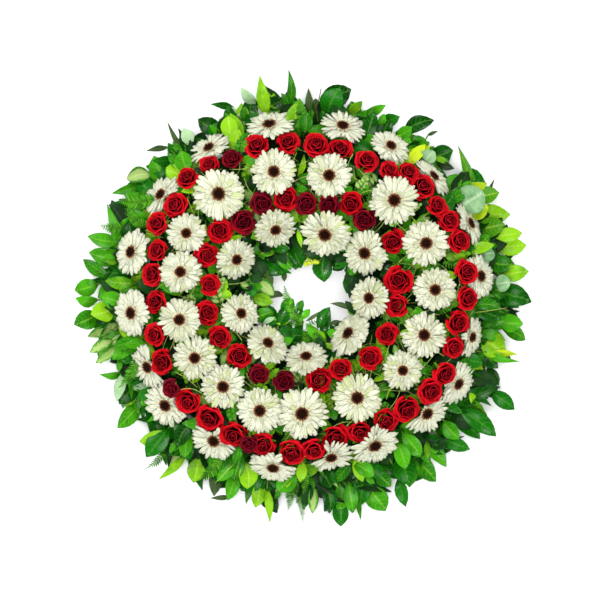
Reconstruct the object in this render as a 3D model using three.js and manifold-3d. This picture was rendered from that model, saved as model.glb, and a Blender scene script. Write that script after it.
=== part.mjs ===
// Memorial wreath of ivory gerbera daisies and red roses on a ring of floral foam.
//
// Millimetres, +Z up. The wreath lies on its backing tray. The origin is under the
// middle of the ring, and +Y points to the top of the wreath as it is displayed.
// Bearings are degrees anticlockwise from +X, and radii run from the middle of the ring.

import * as THREE from "three";
import Module from "manifold-3d";

const wasm = await Module();
wasm.setup();

const GAP = 0.3; // clearance between pieces that touch
const FACETS = 36; // flats round the tray and the foam
const UP = new THREE.Vector3(0, 0, 1);

const TRAY = { inner: 118.5, outer: 304, wall: 2.5, height: 18 };
const FOAM = {
  inner: TRAY.inner + TRAY.wall + GAP,
  outer: TRAY.outer - TRAY.wall - GAP,
  floor: TRAY.wall + GAP,
  top: 62,
  bevel: 13,
  blocks: 3,
};

const STEM = { radius: 2.6, sides: 4, lowest: 8 };
const GERBERA = {
  petals: 12,
  notch: 0.84,
  disc: 13,
  rise: 3,
  dome: 2,
  calyx: 9,
  calyxDrop: 9,
  neck: 15,
  sides: 8, // flats round the disc and the calyx
};

// Drops and depth are shares of the bloom's width, and the belly is a share of its half width.
const ROSE = {
  sides: 7,
  depth: 0.86,
  belly: 0.9,
  bellyDrop: 0.54,
  rimDrop: 0.17,
  linkDrop: 0.8,
  linkWidth: 15,
};

// How far a flower may be off its row, in degrees and in millimetres.
const UNEVEN = { lean: 3, height: 2 };

// Gerberas in three rings: how high the heads stand, how far they lean outwards, how far
// the stem reaches behind the head, and each head as [bearing, radius, width], which may be
// followed by a lean and a height of its own.
// Heads of the outer ring stand higher by the slope the further they are inside the crest.
const GERBERA_ROWS = {
  inner: {
    seed: 100,
    height: 98,
    lean: -25,
    reach: 76,
    heads: [
      [0, 124, 80], [36, 143, 88], [71, 126, 96], [112, 138, 79], [150, 144, 78], [194, 120, 76],
      [232, 108, 83, -35, 92], [273, 111, 83, -43, 88], [322, 109, 92, -50, 86],
    ],
  },
  middle: {
    seed: 120,
    height: 111,
    lean: 6,
    reach: 74,
    heads: [
      [3.5, 246, 82], [24, 250, 88], [47, 248, 93], [78, 233, 85], [103, 241, 86], [129, 249, 98],
      [151, 248, 75], [168, 233, 80], [190, 233, 82], [209, 230, 83], [228, 222, 85], [249, 224, 86],
      [269.5, 215, 98], [298.5, 211, 91], [324, 229, 75], [343, 235, 86],
    ],
  },
  outer: {
    seed: 140,
    height: 62,
    crest: 330,
    slope: 0.7,
    lean: 45,
    reach: 76,
    heads: [
      [7, 333, 84, 45], [24, 341, 85, 62], [43, 332, 85, 58], [60, 327, 80, 40], [77, 329, 86, 44],
      [101, 329, 96, 50], [122, 330, 83, 48], [144, 327, 85, 45], [165, 331, 90, 43],
      [185, 321, 91, 40], [204, 316, 86, 40], [218, 325, 90, 36], [238, 313, 92, 36],
      [260, 320, 89, 45], [280, 300, 86, 45], [296, 305, 96, 40], [317, 315, 90, 36],
      [331, 330, 85, 45], [347, 322, 78, 56],
    ],
  },
};

// Roses in two rings, each in three arcs of [bearing, radius, width].
const ROSE_ROWS = {
  inner: {
    seed: 200,
    height: 117,
    lean: -8,
    reach: 78,
    arcs: [
      [
        [32, 195, 46], [52, 184, 42], [63, 195, 48], [74, 176, 42], [88, 174, 44], [100, 186, 50],
        [113, 190, 44], [128, 178, 44], [141, 198, 46],
      ],
      [
        [156, 193, 43], [172, 174, 42], [189, 178, 48], [205.5, 171, 42], [222, 159, 48],
        [240, 163, 40], [257, 157, 40],
      ],
      [
        [281, 155, 50], [298, 148, 43], [318, 166, 43], [336.5, 168, 43], [355.5, 173, 45],
        [370.5, 179, 52],
      ],
    ],
  },
  outer: {
    seed: 240,
    height: 106,
    lean: 25,
    reach: 70,
    arcs: [
      [
        [342, 301, 45], [351, 299, 46], [360, 313, 47], [369, 314, 45], [380, 316, 46], [388, 314, 43],
        [394.5, 309, 43], [403, 311, 51], [410, 311, 43], [416, 292, 39], [425, 288, 46],
        [436, 291, 46], [445, 292, 47],
      ],
      [
        [95.5, 296, 43], [107, 302, 46], [117, 297, 41], [125, 309, 39], [134, 317, 45], [144, 300, 46],
        [153, 310, 43], [162, 291, 43], [171, 290, 46], [181.5, 280, 46], [194, 290, 46],
        [204.5, 294, 48],
      ],
      [
        [214.5, 303, 33], [222, 294, 51], [232, 289, 49], [243, 292, 51], [249.5, 294, 35],
        [255, 290, 46], [266, 296, 51], [274, 290, 45], [283, 272, 49], [293, 276, 48], [304, 282, 49],
        [313, 289, 51], [324, 301, 51], [332, 306, 46],
      ],
    ],
  },
};

// Leaves in arcs. Each is [bearing and radius of the blade's foot, bearing and radius of its
// tip, width], and the taller ones that fill the gaps between the outer gerberas give the
// heights of foot and tip too. The outer collar lies over the tray's outer wall, and the
// inner one over its inner wall.
const COLLARS = {
  outer: {
    seed: 400,
    bandInner: 301.6,
    bandOuter: 306,
    rootRadius: 304,
    footHeights: [10, 20, 15],
    tipRise: 12,
    tipScatter: 12,
    arcs: [
      [
        [339.5, 370, 336, 400, 18], [343, 350, 343.7, 421, 12], [347.5, 345, 345, 391, 42],
        [351.2, 380, 349.3, 422, 23], [353.5, 370, 353.3, 412, 30], [357, 350, 357, 392, 22],
        [362, 357, 359, 426, 36], [367, 372, 366.7, 423, 28], [372, 352, 369, 399, 30],
        [375, 372, 373.3, 428, 30], [378, 375, 376.5, 426, 24], [382, 352, 380, 400, 32],
        [386, 358, 382, 417, 34], [391, 372, 388.2, 415, 28], [393, 352, 391.9, 404, 22],
        [398, 357, 392, 402, 48], [405.5, 356, 400.5, 373, 14], [408.5, 360, 404.5, 392, 30],
        [412, 345, 410, 372, 14], [418.6, 362, 413.6, 411, 26], [425, 360, 422, 386, 22],
        [431.5, 364, 426.8, 391, 16], [436, 355, 433.3, 386, 18], [443, 345, 440, 397, 38],
        [445, 374, 437, 399, 38], [448, 350, 448.5, 391, 12], [357, 314, 357, 372, 22, 50, 42],
        [375.5, 314, 375.5, 372, 20, 50, 44], [393.5, 314, 393, 370, 20, 50, 44],
        [411.5, 314, 411.5, 368, 20, 50, 42], [428.5, 314, 429, 374, 24, 50, 46],
      ],
      [
        [91.5, 312, 91, 374, 24, 52, 46], [93.5, 345, 96, 386, 16], [94.5, 354, 93.6, 427, 15],
        [95, 374, 101.8, 364, 24], [101, 352, 101, 422, 22], [104, 372, 106.3, 408, 20],
        [109, 345, 107.6, 384, 22], [112, 345, 111.3, 388, 22], [110, 380, 115.5, 400, 13],
        [116, 350, 120.4, 390, 28], [126.5, 355, 125.1, 390, 22], [129.4, 350, 127.5, 416, 9],
        [130.5, 348, 131, 386, 20], [132, 380, 136.8, 400, 10], [132.5, 352, 137.5, 382, 18],
        [136, 345, 140, 385, 22], [141, 365, 146, 397, 26], [145.5, 372, 151.3, 406, 16],
        [151.3, 350, 154.4, 402, 26], [157, 345, 160.3, 404, 26], [163, 360, 164, 417, 24],
        [166, 350, 168, 408, 30], [174, 366, 170, 416, 22], [176, 385, 178, 426, 30],
        [180.5, 385, 180, 424, 20], [183, 355, 184.5, 396, 34], [184.4, 387, 186.6, 429, 32],
        [189, 362, 190.2, 408, 20], [192.5, 365, 194.3, 410, 20], [194.5, 355, 197.5, 405, 20],
        [202.5, 368, 200.5, 405, 13], [202.5, 362, 209, 396, 20], [206.7, 350, 210, 395, 30],
        [213.2, 362, 215, 422, 28], [111.5, 312, 111.5, 372, 22, 50, 44],
        [133, 316, 133, 372, 20, 46, 44], [154.5, 314, 154.5, 370, 22, 48, 44],
        [175, 314, 175, 372, 22, 48, 44], [194.5, 312, 194.5, 368, 22, 50, 46],
        [211, 312, 211, 366, 18, 50, 42],
      ],
      [
        [226.4, 356, 221.2, 405, 30], [224, 350, 225.4, 416, 34], [228, 378, 227.2, 435, 20],
        [230, 352, 231.3, 402, 28], [233.5, 370, 231.5, 432, 15], [237, 355, 239.3, 400, 30],
        [242, 362, 245.8, 405, 22], [250, 348, 249.5, 402, 24], [254.5, 350, 254.5, 398, 14],
        [257, 350, 257.2, 400, 25], [259.3, 365, 261.6, 423, 14], [265, 345, 266, 396, 22],
        [266.5, 350, 270, 421, 20], [273, 350, 272.5, 402, 18], [276, 350, 277, 404, 24],
        [280.3, 386, 279.4, 432, 26], [284, 355, 283, 411, 24], [285.8, 362, 284.6, 428, 12],
        [289, 372, 291.2, 426, 36], [298, 382, 296.2, 433, 22], [301.5, 345, 299.5, 400, 38],
        [304, 365, 305.9, 422, 30], [309, 355, 310.3, 413, 26], [314.8, 368, 317.8, 420, 23],
        [322, 350, 321.5, 422, 26], [324.8, 356, 324.4, 443, 30], [328, 358, 326.9, 412, 42],
        [333.6, 393, 332.2, 446, 25], [228, 312, 228, 366, 24, 50, 42],
        [249, 312, 249, 366, 24, 50, 42], [270, 312, 270, 368, 22, 50, 44],
        [288, 312, 288, 362, 20, 50, 40], [306.5, 312, 306.5, 370, 26, 52, 46],
        [324, 312, 324, 364, 18, 50, 42],
      ],
    ],
  },
  inner: {
    seed: 550,
    bandInner: 116.6,
    bandOuter: 121,
    rootRadius: 119,
    footHeights: [34, 48, 41],
    tipRise: 2,
    tipScatter: 8,
    arcs: [
      [[348, 104, 348, 58, 9], [385, 106, 366, 82, 20], [424, 94, 397, 50, 32], [442, 104, 440, 68, 18]],
      [
        [100, 102, 105, 55, 32], [117, 104, 118, 62, 28], [141, 106, 129, 57, 22],
        [152, 102, 141, 74, 26], [168, 104, 163, 67, 26], [181, 96, 175, 40, 9],
        [190, 104, 188, 62, 26], [202, 104, 206, 60, 24],
      ],
      [
        [217, 100, 224, 54, 22], [229, 72, 205, 22, 22], [240, 100, 244, 50, 22],
        [262, 92, 267, 12, 15], [276, 100, 280, 54, 22], [296, 84, 337, 55, 15],
        [306, 100, 312, 66, 20],
      ],
    ],
  },
};

// Places along the blade are shares of its length, and the cheek's width is a share of the blade's.
const LEAF = {
  rise: 1.3,
  stalk: 1.6,
  swing: 0.45,
  mouth: 0.02,
  shoulder: 0.36,
  crest: 0.5,
  cheek: 0.74,
  cheekWidth: 0.64,
  uneven: 2,
};

const BAND = { height: 4.4, inset: 0.6, overrun: 1 };
const PEG = { every: 4, first: 2, depth: 22, radius: 1.6, sides: 3, clearance: 3 };
const SLIVER = 0.2; // degrees: no span at the end of an arc is narrower
const SEED_STEP = { roses: 15, leaves: 40 }; // between the scatter of one arc and of the next

const LOOKS = {
  petal: { color: 0xf1eee0, roughness: 0.6, metalness: 0 },
  rose: { color: 0xa30d1e, roughness: 0.6, metalness: 0 },
  leaf: { color: 0x2f6b28, roughness: 0.45, metalness: 0 },
  foam: { color: 0x3f6a4a, roughness: 0.95, metalness: 0 },
  tray: { color: 0x1d3a26, roughness: 0.5, metalness: 0 },
};

const group = new THREE.Group();

function polar(bearing, radius, z) {
  const angle = THREE.MathUtils.degToRad(bearing);
  return new THREE.Vector3(radius * Math.cos(angle), radius * Math.sin(angle), z);
}

// A repeatable scatter between -1 and 1, so that no two neighbours sit quite alike.
function scatter(seed) {
  const wave = Math.sin(seed * 12.9898) * 43758.5453;
  return 2 * (wave - Math.floor(wave)) - 1;
}

function toSolid(points, faces) {
  const vertProperties = new Float32Array(points.flatMap((p) => p.toArray()));
  const triVerts = new Uint32Array(faces.flat());
  return new wasm.Manifold(new wasm.Mesh({ numProp: 3, vertProperties, triVerts }));
}

function addMesh(name, solid, look) {
  const { numProp, vertProperties, triVerts } = solid.getMesh();
  const geometry = new THREE.BufferGeometry();
  geometry.setAttribute("position", new THREE.BufferAttribute(vertProperties, numProp));
  geometry.setIndex(new THREE.BufferAttribute(triVerts, 1));
  geometry.computeVertexNormals();
  const mesh = new THREE.Mesh(geometry, new THREE.MeshStandardMaterial(look));
  mesh.name = name;
  group.add(mesh);
}

function join(solids) {
  return wasm.Manifold.union(solids);
}

function largestPiece(solid) {
  const pieces = solid.decompose();
  return pieces.reduce((a, b) => (b.volume() > a.volume() ? b : a));
}

// How much nearer the middle a flat is at this bearing than at its corners.
function flatScale(bearing) {
  const step = 360 / FACETS;
  const past = bearing - step * Math.floor(bearing / step);
  const half = THREE.MathUtils.degToRad(step / 2);
  return Math.cos(half) / Math.cos(THREE.MathUtils.degToRad(past) - half);
}

// A section of [radius, height] points, anticlockwise, carried round the middle of the
// wreath from one bearing to another on the flats that the tray and the foam share.
function sweepArc(section, from, to) {
  const step = 360 / FACETS;
  const bearings = [from];
  for (let k = Math.floor(from / step) + 1; k * step < to - SLIVER; k += 1) {
    bearings.push(k * step);
  }
  const whole = to - from >= 360;
  if (!whole) {
    bearings.push(to);
  }
  const count = section.length;
  const points = bearings.flatMap((b) => section.map(([r, z]) => polar(b, r * flatScale(b), z)));
  const faces = [];
  const spans = whole ? bearings.length : bearings.length - 1;
  for (let i = 0; i < spans; i += 1) {
    const here = i * count;
    const next = ((i + 1) % bearings.length) * count;
    for (let j = 0; j < count; j += 1) {
      const k = (j + 1) % count;
      faces.push([here + j, next + k, here + k], [here + j, next + j, next + k]);
    }
  }
  if (!whole) {
    const last = spans * count;
    for (let j = 1; j < count - 1; j += 1) {
      faces.push([0, j, j + 1], [last, last + j + 1, last + j]);
    }
  }
  return toSolid(points, faces);
}

// One ring of a flower in its own frame: z is the flower's axis and x points outwards.
// Every second point may be drawn in to make the notches between petals.
function ring(sides, radius, z, notch = 1) {
  const points = [];
  for (let k = 0; k < sides; k += 1) {
    const angle = (2 * Math.PI * k) / sides;
    const r = k % 2 === 1 ? radius * notch : radius;
    points.push(new THREE.Vector3(r * Math.cos(angle), r * Math.sin(angle), z));
  }
  return points;
}

// The closed skin over a stack of rings, bottom to top, whose counts may differ.
function loft(rings, frame) {
  const points = rings.flat().map((p) => p.clone().applyMatrix4(frame));
  const faces = [];
  let start = 0;
  for (let k = 1; k < rings[0].length - 1; k += 1) {
    faces.push([0, k + 1, k]);
  }
  for (let level = 0; level < rings.length - 1; level += 1) {
    const low = rings[level].length;
    const high = rings[level + 1].length;
    const above = start + low;
    let i = 0;
    let j = 0;
    while (i < low || (high > 1 && j < high)) {
      const climb = high > 1 && (j + 1) / high < (i + 1) / low;
      const a = start + (i % low);
      const b = above + (j % high);
      if (climb) {
        faces.push([a, above + ((j + 1) % high), b]);
        j += 1;
      } else {
        faces.push([a, start + ((i + 1) % low), b]);
        i += 1;
      }
    }
    start = above;
  }
  for (let k = 1; k < rings.at(-1).length - 1; k += 1) {
    faces.push([start, start + k, start + k + 1]);
  }
  return toSolid(points, faces);
}

// A flower stands at its bearing, radius and height, and its axis leans outwards.
function flowerFrame(bearing, radius, height, lean) {
  const turn = new THREE.Matrix4().makeRotationZ(THREE.MathUtils.degToRad(bearing));
  const place = new THREE.Matrix4().makeTranslation(radius, 0, height);
  const tip = new THREE.Matrix4().makeRotationY(THREE.MathUtils.degToRad(lean));
  return turn.multiply(place).multiply(tip);
}

function makeFlower(row, [bearing, radius, width, ownLean, ownHeight], seed) {
  const lean = (ownLean ?? row.lean) + UNEVEN.lean * scatter(seed);
  const climb = (row.slope ?? 0) * Math.max(0, (row.crest ?? 0) - radius);
  const height = (ownHeight ?? row.height + climb) + UNEVEN.height * scatter(seed + 0.5);
  const sink = (height - STEM.lowest) / Math.cos(THREE.MathUtils.degToRad(lean));
  const stem = Math.min(row.reach, sink);
  return { width, stem, frame: flowerFrame(bearing, radius, height, lean) };
}

// The gerbera's stem, its calyx, the notched rim of its petals and the dome of its disc.
function gerberaSolid({ width, stem, frame }, grow = 0) {
  const rings = [
    ring(STEM.sides, STEM.radius + grow, -stem - grow),
    ring(STEM.sides, STEM.radius + grow, -GERBERA.neck - grow),
    ring(GERBERA.sides, GERBERA.calyx + grow, -GERBERA.calyxDrop - grow),
    ring(2 * GERBERA.petals, width / 2 + grow, 0, GERBERA.notch),
    ring(GERBERA.sides, GERBERA.disc + grow, GERBERA.rise + grow),
    ring(1, 0, GERBERA.rise + GERBERA.dome + grow),
  ];
  return loft(rings, frame);
}

// The rose's stem, its belly, the widest ring of its open petals and its crown.
function roseSolid({ width, stem, frame }, grow = 0) {
  const half = width / 2;
  const rings = [
    ring(STEM.sides, STEM.radius + grow, -stem - grow),
    ring(STEM.sides, STEM.radius + grow, -width * ROSE.depth - grow),
    ring(ROSE.sides, half * ROSE.belly + grow, -width * ROSE.bellyDrop - grow),
    ring(ROSE.sides, half + grow, -width * ROSE.rimDrop),
    ring(1, 0, grow),
  ];
  return loft(rings, frame);
}

// The hole that a stem leaves in the foam.
function stemHole({ stem, frame }) {
  const clear = STEM.radius + GAP * Math.SQRT2;
  return loft([ring(STEM.sides, clear, -stem - GAP), ring(STEM.sides, clear, 0)], frame);
}

function roseFoot({ width, frame }) {
  return new THREE.Vector3(0, 0, -width * ROSE.linkDrop).applyMatrix4(frame);
}

// A rose's own leaf, lying under two blooms from the foot of one to the foot of the next.
function roseLink(a, b) {
  const start = roseFoot(a);
  const end = roseFoot(b);
  const side = new THREE.Vector3().crossVectors(UP, end.clone().sub(start));
  side.setLength(ROSE.linkWidth / 2);
  const middle = start.clone().lerp(end, 0.5);
  const rise = new THREE.Vector3(0, 0, LEAF.rise);
  const rim = [start, middle.clone().sub(side), end, middle.clone().add(side)];
  const points = [...rim, middle.clone().add(rise), middle.clone().sub(rise)];
  const faces = [];
  for (let k = 0; k < 4; k += 1) {
    const next = (k + 1) % 4;
    faces.push([4, k, next], [5, next, k]);
  }
  return toSolid(points, faces);
}

// One leaf: a three-sided stalk from its root, opening into a pointed, lens-thick blade.
function leafSolid(root, foot, tip, width) {
  const half = width / 2;
  const blade = tip.clone().sub(foot);
  const side = new THREE.Vector3().crossVectors(UP, blade).normalize();
  const stalkSide = new THREE.Vector3().crossVectors(UP, foot.clone().sub(root)).normalize();
  const at = (t, across, rise) =>
    foot.clone().addScaledVector(blade, t).addScaledVector(side, across).addScaledVector(UP, rise);
  const points = [
    root.clone().addScaledVector(stalkSide, -LEAF.stalk), // 0
    root.clone().addScaledVector(stalkSide, LEAF.stalk), // 1
    root.clone().addScaledVector(UP, 2 * LEAF.stalk), // 2
    at(0, -LEAF.stalk, 0), // 3
    at(0, LEAF.stalk, 0), // 4
    at(LEAF.mouth, 0, LEAF.rise), // 5
    at(LEAF.mouth, 0, -LEAF.rise), // 6
    at(LEAF.shoulder, -half, 0), // 7
    at(LEAF.cheek, -half * LEAF.cheekWidth, 0), // 8
    tip, // 9
    at(LEAF.cheek, half * LEAF.cheekWidth, 0), // 10
    at(LEAF.shoulder, half, 0), // 11
    at(LEAF.crest, 0, LEAF.rise), // 12
    at(LEAF.crest, 0, -LEAF.rise), // 13
  ];
  const faces = [
    [0, 2, 1], [0, 3, 2], [3, 5, 2], [1, 2, 4], [4, 2, 5],
    [0, 1, 6], [1, 4, 6], [0, 6, 3],
    [5, 3, 7], [5, 7, 12], [5, 12, 11], [5, 11, 4],
    [12, 7, 8], [12, 8, 9], [12, 9, 10], [12, 10, 11],
    [6, 7, 3], [6, 13, 7], [6, 11, 13], [6, 4, 11],
    [13, 8, 7], [13, 9, 8], [13, 10, 9], [13, 11, 10],
  ];
  return toSolid(points, faces);
}

// Whether an outer gerbera's stem crosses the foam too near this bearing for a peg.
function nearGerberaStem(bearing) {
  return GERBERA_ROWS.outer.heads.some(([stem]) => {
    const apart = THREE.MathUtils.euclideanModulo(bearing - stem + 180, 360) - 180;
    return Math.abs(apart) < PEG.clearance;
  });
}

// One leaf of a collar: its root on the band, its blade's foot and tip, and its width.
function placeLeaf(collar, plan, k, seed) {
  const [footBearing, footRadius, tipBearing, tipRadius, width, footHeight, tipHeight] = plan;
  const usual = collar.footHeights[k % collar.footHeights.length];
  const height = footHeight ?? usual + LEAF.uneven * scatter(seed + k);
  const lift = collar.tipRise + collar.tipScatter * scatter(seed + k + 0.5);
  const bearing = footBearing + LEAF.swing * (footBearing - tipBearing);
  return {
    bearing,
    width,
    root: polar(bearing, collar.rootRadius, TRAY.height + GAP + BAND.inset),
    foot: polar(footBearing, footRadius, height),
    tip: polar(tipBearing, tipRadius, tipHeight ?? height + lift),
  };
}

// An arc of leaves. Their stalks are bound to a band that lies on the tray's wall, and
// every few leaves a peg of stem runs from the band into the foam.
function makeCollar(collar, plans, seed) {
  const leaves = plans.map((plan, k) => placeLeaf(collar, plan, k, seed));
  const solids = leaves.map(({ root, foot, tip, width }) => leafSolid(root, foot, tip, width));
  const bearings = leaves.map(({ bearing }) => bearing);
  const low = TRAY.height + GAP;
  const high = low + BAND.height;
  const section = [
    [collar.bandInner, low], [collar.bandOuter, low],
    [collar.bandOuter, high], [collar.bandInner, high],
  ];
  const start = Math.min(...bearings) - BAND.overrun;
  solids.push(sweepArc(section, start, Math.max(...bearings) + BAND.overrun));

  const inside = collar === COLLARS.outer ? FOAM.outer - PEG.depth : FOAM.inner + PEG.depth;
  const length = Math.abs(collar.rootRadius - inside);
  const middle = low + BAND.height / 2;
  const pegged = bearings.filter((b, k) => k % PEG.every === PEG.first && !nearGerberaStem(b));
  const holes = pegged.map((bearing) => {
    const frame = pegFrame(
      polar(bearing, inside, middle), polar(bearing, collar.rootRadius, middle),
    );
    const clear = PEG.radius + 2 * GAP;
    solids.push(loft([ring(PEG.sides, PEG.radius, 0), ring(PEG.sides, PEG.radius, length)], frame));
    return loft([ring(PEG.sides, clear, -GAP), ring(PEG.sides, clear, length)], frame);
  });
  return { solid: join(solids), holes };
}

// A frame at one end of a peg whose z axis runs to the other end.
function pegFrame(from, to) {
  const turn = new THREE.Quaternion().setFromUnitVectors(UP, to.clone().sub(from).normalize());
  return new THREE.Matrix4().compose(from, turn, new THREE.Vector3(1, 1, 1));
}

function makeTray() {
  const { inner, outer, wall, height } = TRAY;
  const section = [
    [inner, 0], [outer, 0], [outer, height], [outer - wall, height],
    [outer - wall, wall], [inner + wall, wall], [inner + wall, height], [inner, height],
  ];
  return sweepArc(section, 0, 360);
}

function makeFoamBlock(index) {
  const { inner, outer, floor, top, bevel, blocks } = FOAM;
  const section = [
    [inner, floor], [outer, floor], [outer, top - bevel], [outer - bevel, top],
    [inner + bevel, top], [inner, top - bevel],
  ];
  const span = 360 / blocks;
  const joint = THREE.MathUtils.radToDeg(GAP / 2 / inner);
  return sweepArc(section, index * span + joint, (index + 1) * span - joint);
}

const roseArcs = Object.entries(ROSE_ROWS).flatMap(([rowName, row]) =>
  row.arcs.map((arc, index) => ({
    name: `roses_${rowName}_${index + 1}`,
    roses: arc.map((plan, k) => makeFlower(row, plan, row.seed + SEED_STEP.roses * index + k)),
  })),
);

const gerberas = Object.entries(GERBERA_ROWS).flatMap(([rowName, row]) =>
  row.heads.map((plan, k) => ({
    name: `gerbera_${rowName}_${k + 1}`,
    flower: makeFlower(row, plan, row.seed + k),
  })),
);

const collars = Object.entries(COLLARS).flatMap(([rowName, collar]) =>
  collar.arcs.map((plans, index) => ({
    name: `foliage_${rowName}_${index + 1}`,
    ...makeCollar(collar, plans, collar.seed + SEED_STEP.leaves * index),
  })),
);

addMesh("backing_tray", makeTray(), LOOKS.tray);

const flowers = [...gerberas.map(({ flower }) => flower), ...roseArcs.flatMap(({ roses }) => roses)];
const holes = join([...flowers.map(stemHole), ...collars.flatMap((collar) => collar.holes)]);
for (let k = 0; k < FOAM.blocks; k += 1) {
  addMesh(`foam_block_${k + 1}`, makeFoamBlock(k).subtract(holes), LOOKS.foam);
}

for (const { name, roses } of roseArcs) {
  const blooms = roses.map((rose) => roseSolid(rose));
  const links = roses.slice(1).map((rose, k) => roseLink(roses[k], rose));
  addMesh(name, join([...blooms, ...links]), LOOKS.rose);
}

// Where heads crowd, a gerbera's petals stop short of the roses and of the gerberas before it.
const taken = roseArcs.flatMap(({ roses }) => roses).map((rose) => roseSolid(rose, GAP));
for (const { name, flower } of gerberas) {
  const solid = largestPiece(gerberaSolid(flower).subtract(join(taken)));
  addMesh(name, solid, LOOKS.petal);
  taken.push(gerberaSolid(flower, GAP));
}

for (const { name, solid } of collars) {
  addMesh(name, solid, LOOKS.leaf);
}

export default group;
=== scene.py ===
"""Memorial wreath of ivory gerbera daisies and red roses on a ring of floral foam.

The looks of the wreath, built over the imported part. The wreath lies on its backing tray at
z = 0 and its top points to +Y. The planting plans are in millimetres and degrees: bearings
run anticlockwise from +X, radii from the middle of the ring. Finished meshes are in metres.
"""

import logging
import math
from dataclasses import dataclass, field
from enum import Enum
from functools import cache
from typing import Any, Iterable, Sequence

import bpy
import numpy as np
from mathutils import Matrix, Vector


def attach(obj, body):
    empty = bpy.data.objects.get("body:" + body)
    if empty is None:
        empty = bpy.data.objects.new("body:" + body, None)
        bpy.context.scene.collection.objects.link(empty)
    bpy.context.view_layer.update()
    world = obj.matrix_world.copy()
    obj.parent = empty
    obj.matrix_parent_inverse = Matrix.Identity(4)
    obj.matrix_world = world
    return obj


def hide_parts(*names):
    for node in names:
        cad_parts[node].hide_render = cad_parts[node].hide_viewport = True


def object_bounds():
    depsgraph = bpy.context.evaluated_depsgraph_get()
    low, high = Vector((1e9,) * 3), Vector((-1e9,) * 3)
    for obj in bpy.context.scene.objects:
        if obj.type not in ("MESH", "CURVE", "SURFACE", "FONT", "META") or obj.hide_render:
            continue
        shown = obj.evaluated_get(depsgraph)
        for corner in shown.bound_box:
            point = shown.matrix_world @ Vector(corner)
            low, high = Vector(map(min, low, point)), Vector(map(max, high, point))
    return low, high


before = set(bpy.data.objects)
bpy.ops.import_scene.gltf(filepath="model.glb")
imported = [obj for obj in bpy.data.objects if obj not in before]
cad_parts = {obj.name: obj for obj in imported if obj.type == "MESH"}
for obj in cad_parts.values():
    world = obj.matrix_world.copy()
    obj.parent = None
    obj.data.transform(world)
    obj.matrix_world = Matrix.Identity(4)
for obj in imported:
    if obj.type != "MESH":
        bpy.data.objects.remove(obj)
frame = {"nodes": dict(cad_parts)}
cad_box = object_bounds()

log = logging.getLogger("wreath")

MM = 0.001  # plans are in millimetres, meshes in metres
GOLDEN_ANGLE = 137.508  # degrees between one petal and the next of a bloom
UP = np.array([0.0, 0.0, 1.0])
Color = tuple[float, float, float, float]


class Tone(Enum):
    """The sorts of leaf in the wreath."""

    DEEP = "D"
    MID = "M"
    LIME = "L"
    YELLOW = "Y"
    SILVER = "S"
    STRIPED = "V"
    OLIVE = "N"
    FERN = "F"
    # SHADED is painted shade: near black greens that stand for leaves in shadow.
    SHADED = "X"


class Row(Enum):
    """The rings of blooms and leaves, by the names that the part's nodes carry."""

    INNER = "inner"
    MIDDLE = "middle"
    OUTER = "outer"


class Light(Enum):
    """The sorts of lamp in the studio, by the names that Blender gives them."""

    SQUARE = "AREA"
    SPOT = "SPOT"


# ----------------------------------------------------------------------------- planting plans


@dataclass(frozen=True)
class GerberaRow:
    """A ring of gerberas; heads further inside the crest stand higher by the slope.

    Each head is (bearing, radius, width[, own lean[, own height]]). `loose` is how ragged a
    head can be, and `shaded` how far the petals' tints go towards painted shade.
    """

    height: float
    lean: float
    reach: float
    heads: tuple[tuple[float, ...], ...]
    crest: float = 0.0
    slope: float = 0.0
    loose: float = 0.12
    shaded: float = 1.0


@dataclass(frozen=True)
class RoseRow:
    """A ring of roses in three arcs; each rose is (bearing, radius, width)."""

    height: float
    lean: float
    reach: float
    arcs: tuple[tuple[tuple[float, float, float], ...], ...]
    crest: float = 0.0
    slope: float = 0.0


@dataclass(frozen=True)
class Collar:
    """A ring of leaves bound to a band on the tray's wall.

    Each leaf is (foot bearing, foot radius, tip bearing, tip radius, width, tone letter
    [, foot height, tip height]).
    """

    band_inner: float
    band_outer: float
    root_radius: float
    foot_heights: tuple[float, float, float]
    tip_rise: float
    tip_scatter: float
    arcs: tuple[tuple[tuple, ...], ...]


GERBERA_ROWS = {
    Row.INNER: GerberaRow(
        height=98, lean=-25, reach=76,
        heads=(
            (0, 124, 80), (36, 143, 88), (71, 126, 96), (112, 138, 79), (150, 144, 78),
            (194, 120, 76), (232, 108, 83, -35, 92), (273, 111, 83, -43, 88),
            (322, 109, 92, -50, 86),
        ),
    ),
    Row.MIDDLE: GerberaRow(
        height=111, lean=6, reach=74,
        heads=(
            (3.5, 246, 82), (24, 250, 88), (47, 248, 93), (78, 233, 85), (103, 241, 86),
            (129, 249, 98), (151, 248, 75), (168, 233, 80), (190, 233, 82), (209, 230, 83),
            (228, 222, 85), (249, 224, 86), (269.5, 215, 98), (298.5, 211, 91), (324, 229, 75),
            (343, 235, 86),
        ),
    ),
    Row.OUTER: GerberaRow(
        # The outer heads lean away from the key lamp: low `shaded` gives their petals little
        # painted shade, so they are painted lighter to make up for their weaker light.
        height=62, lean=45, reach=76, crest=330, slope=0.7, loose=0.3, shaded=0.3,
        heads=(
            (7, 333, 84, 45), (24, 341, 85, 62), (43, 332, 85, 58), (60, 327, 80, 40),
            (77, 329, 86, 44), (101, 329, 96, 50), (122, 330, 83, 48), (144, 327, 85, 45),
            (165, 331, 90, 43), (185, 321, 91, 40), (204, 316, 86, 40), (218, 325, 90, 36),
            (238, 313, 92, 36), (260, 320, 89, 45), (280, 300, 86, 45), (296, 305, 96, 40),
            (317, 315, 90, 36), (331, 330, 85, 45), (347, 322, 78, 56),
        ),
    ),
}

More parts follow.
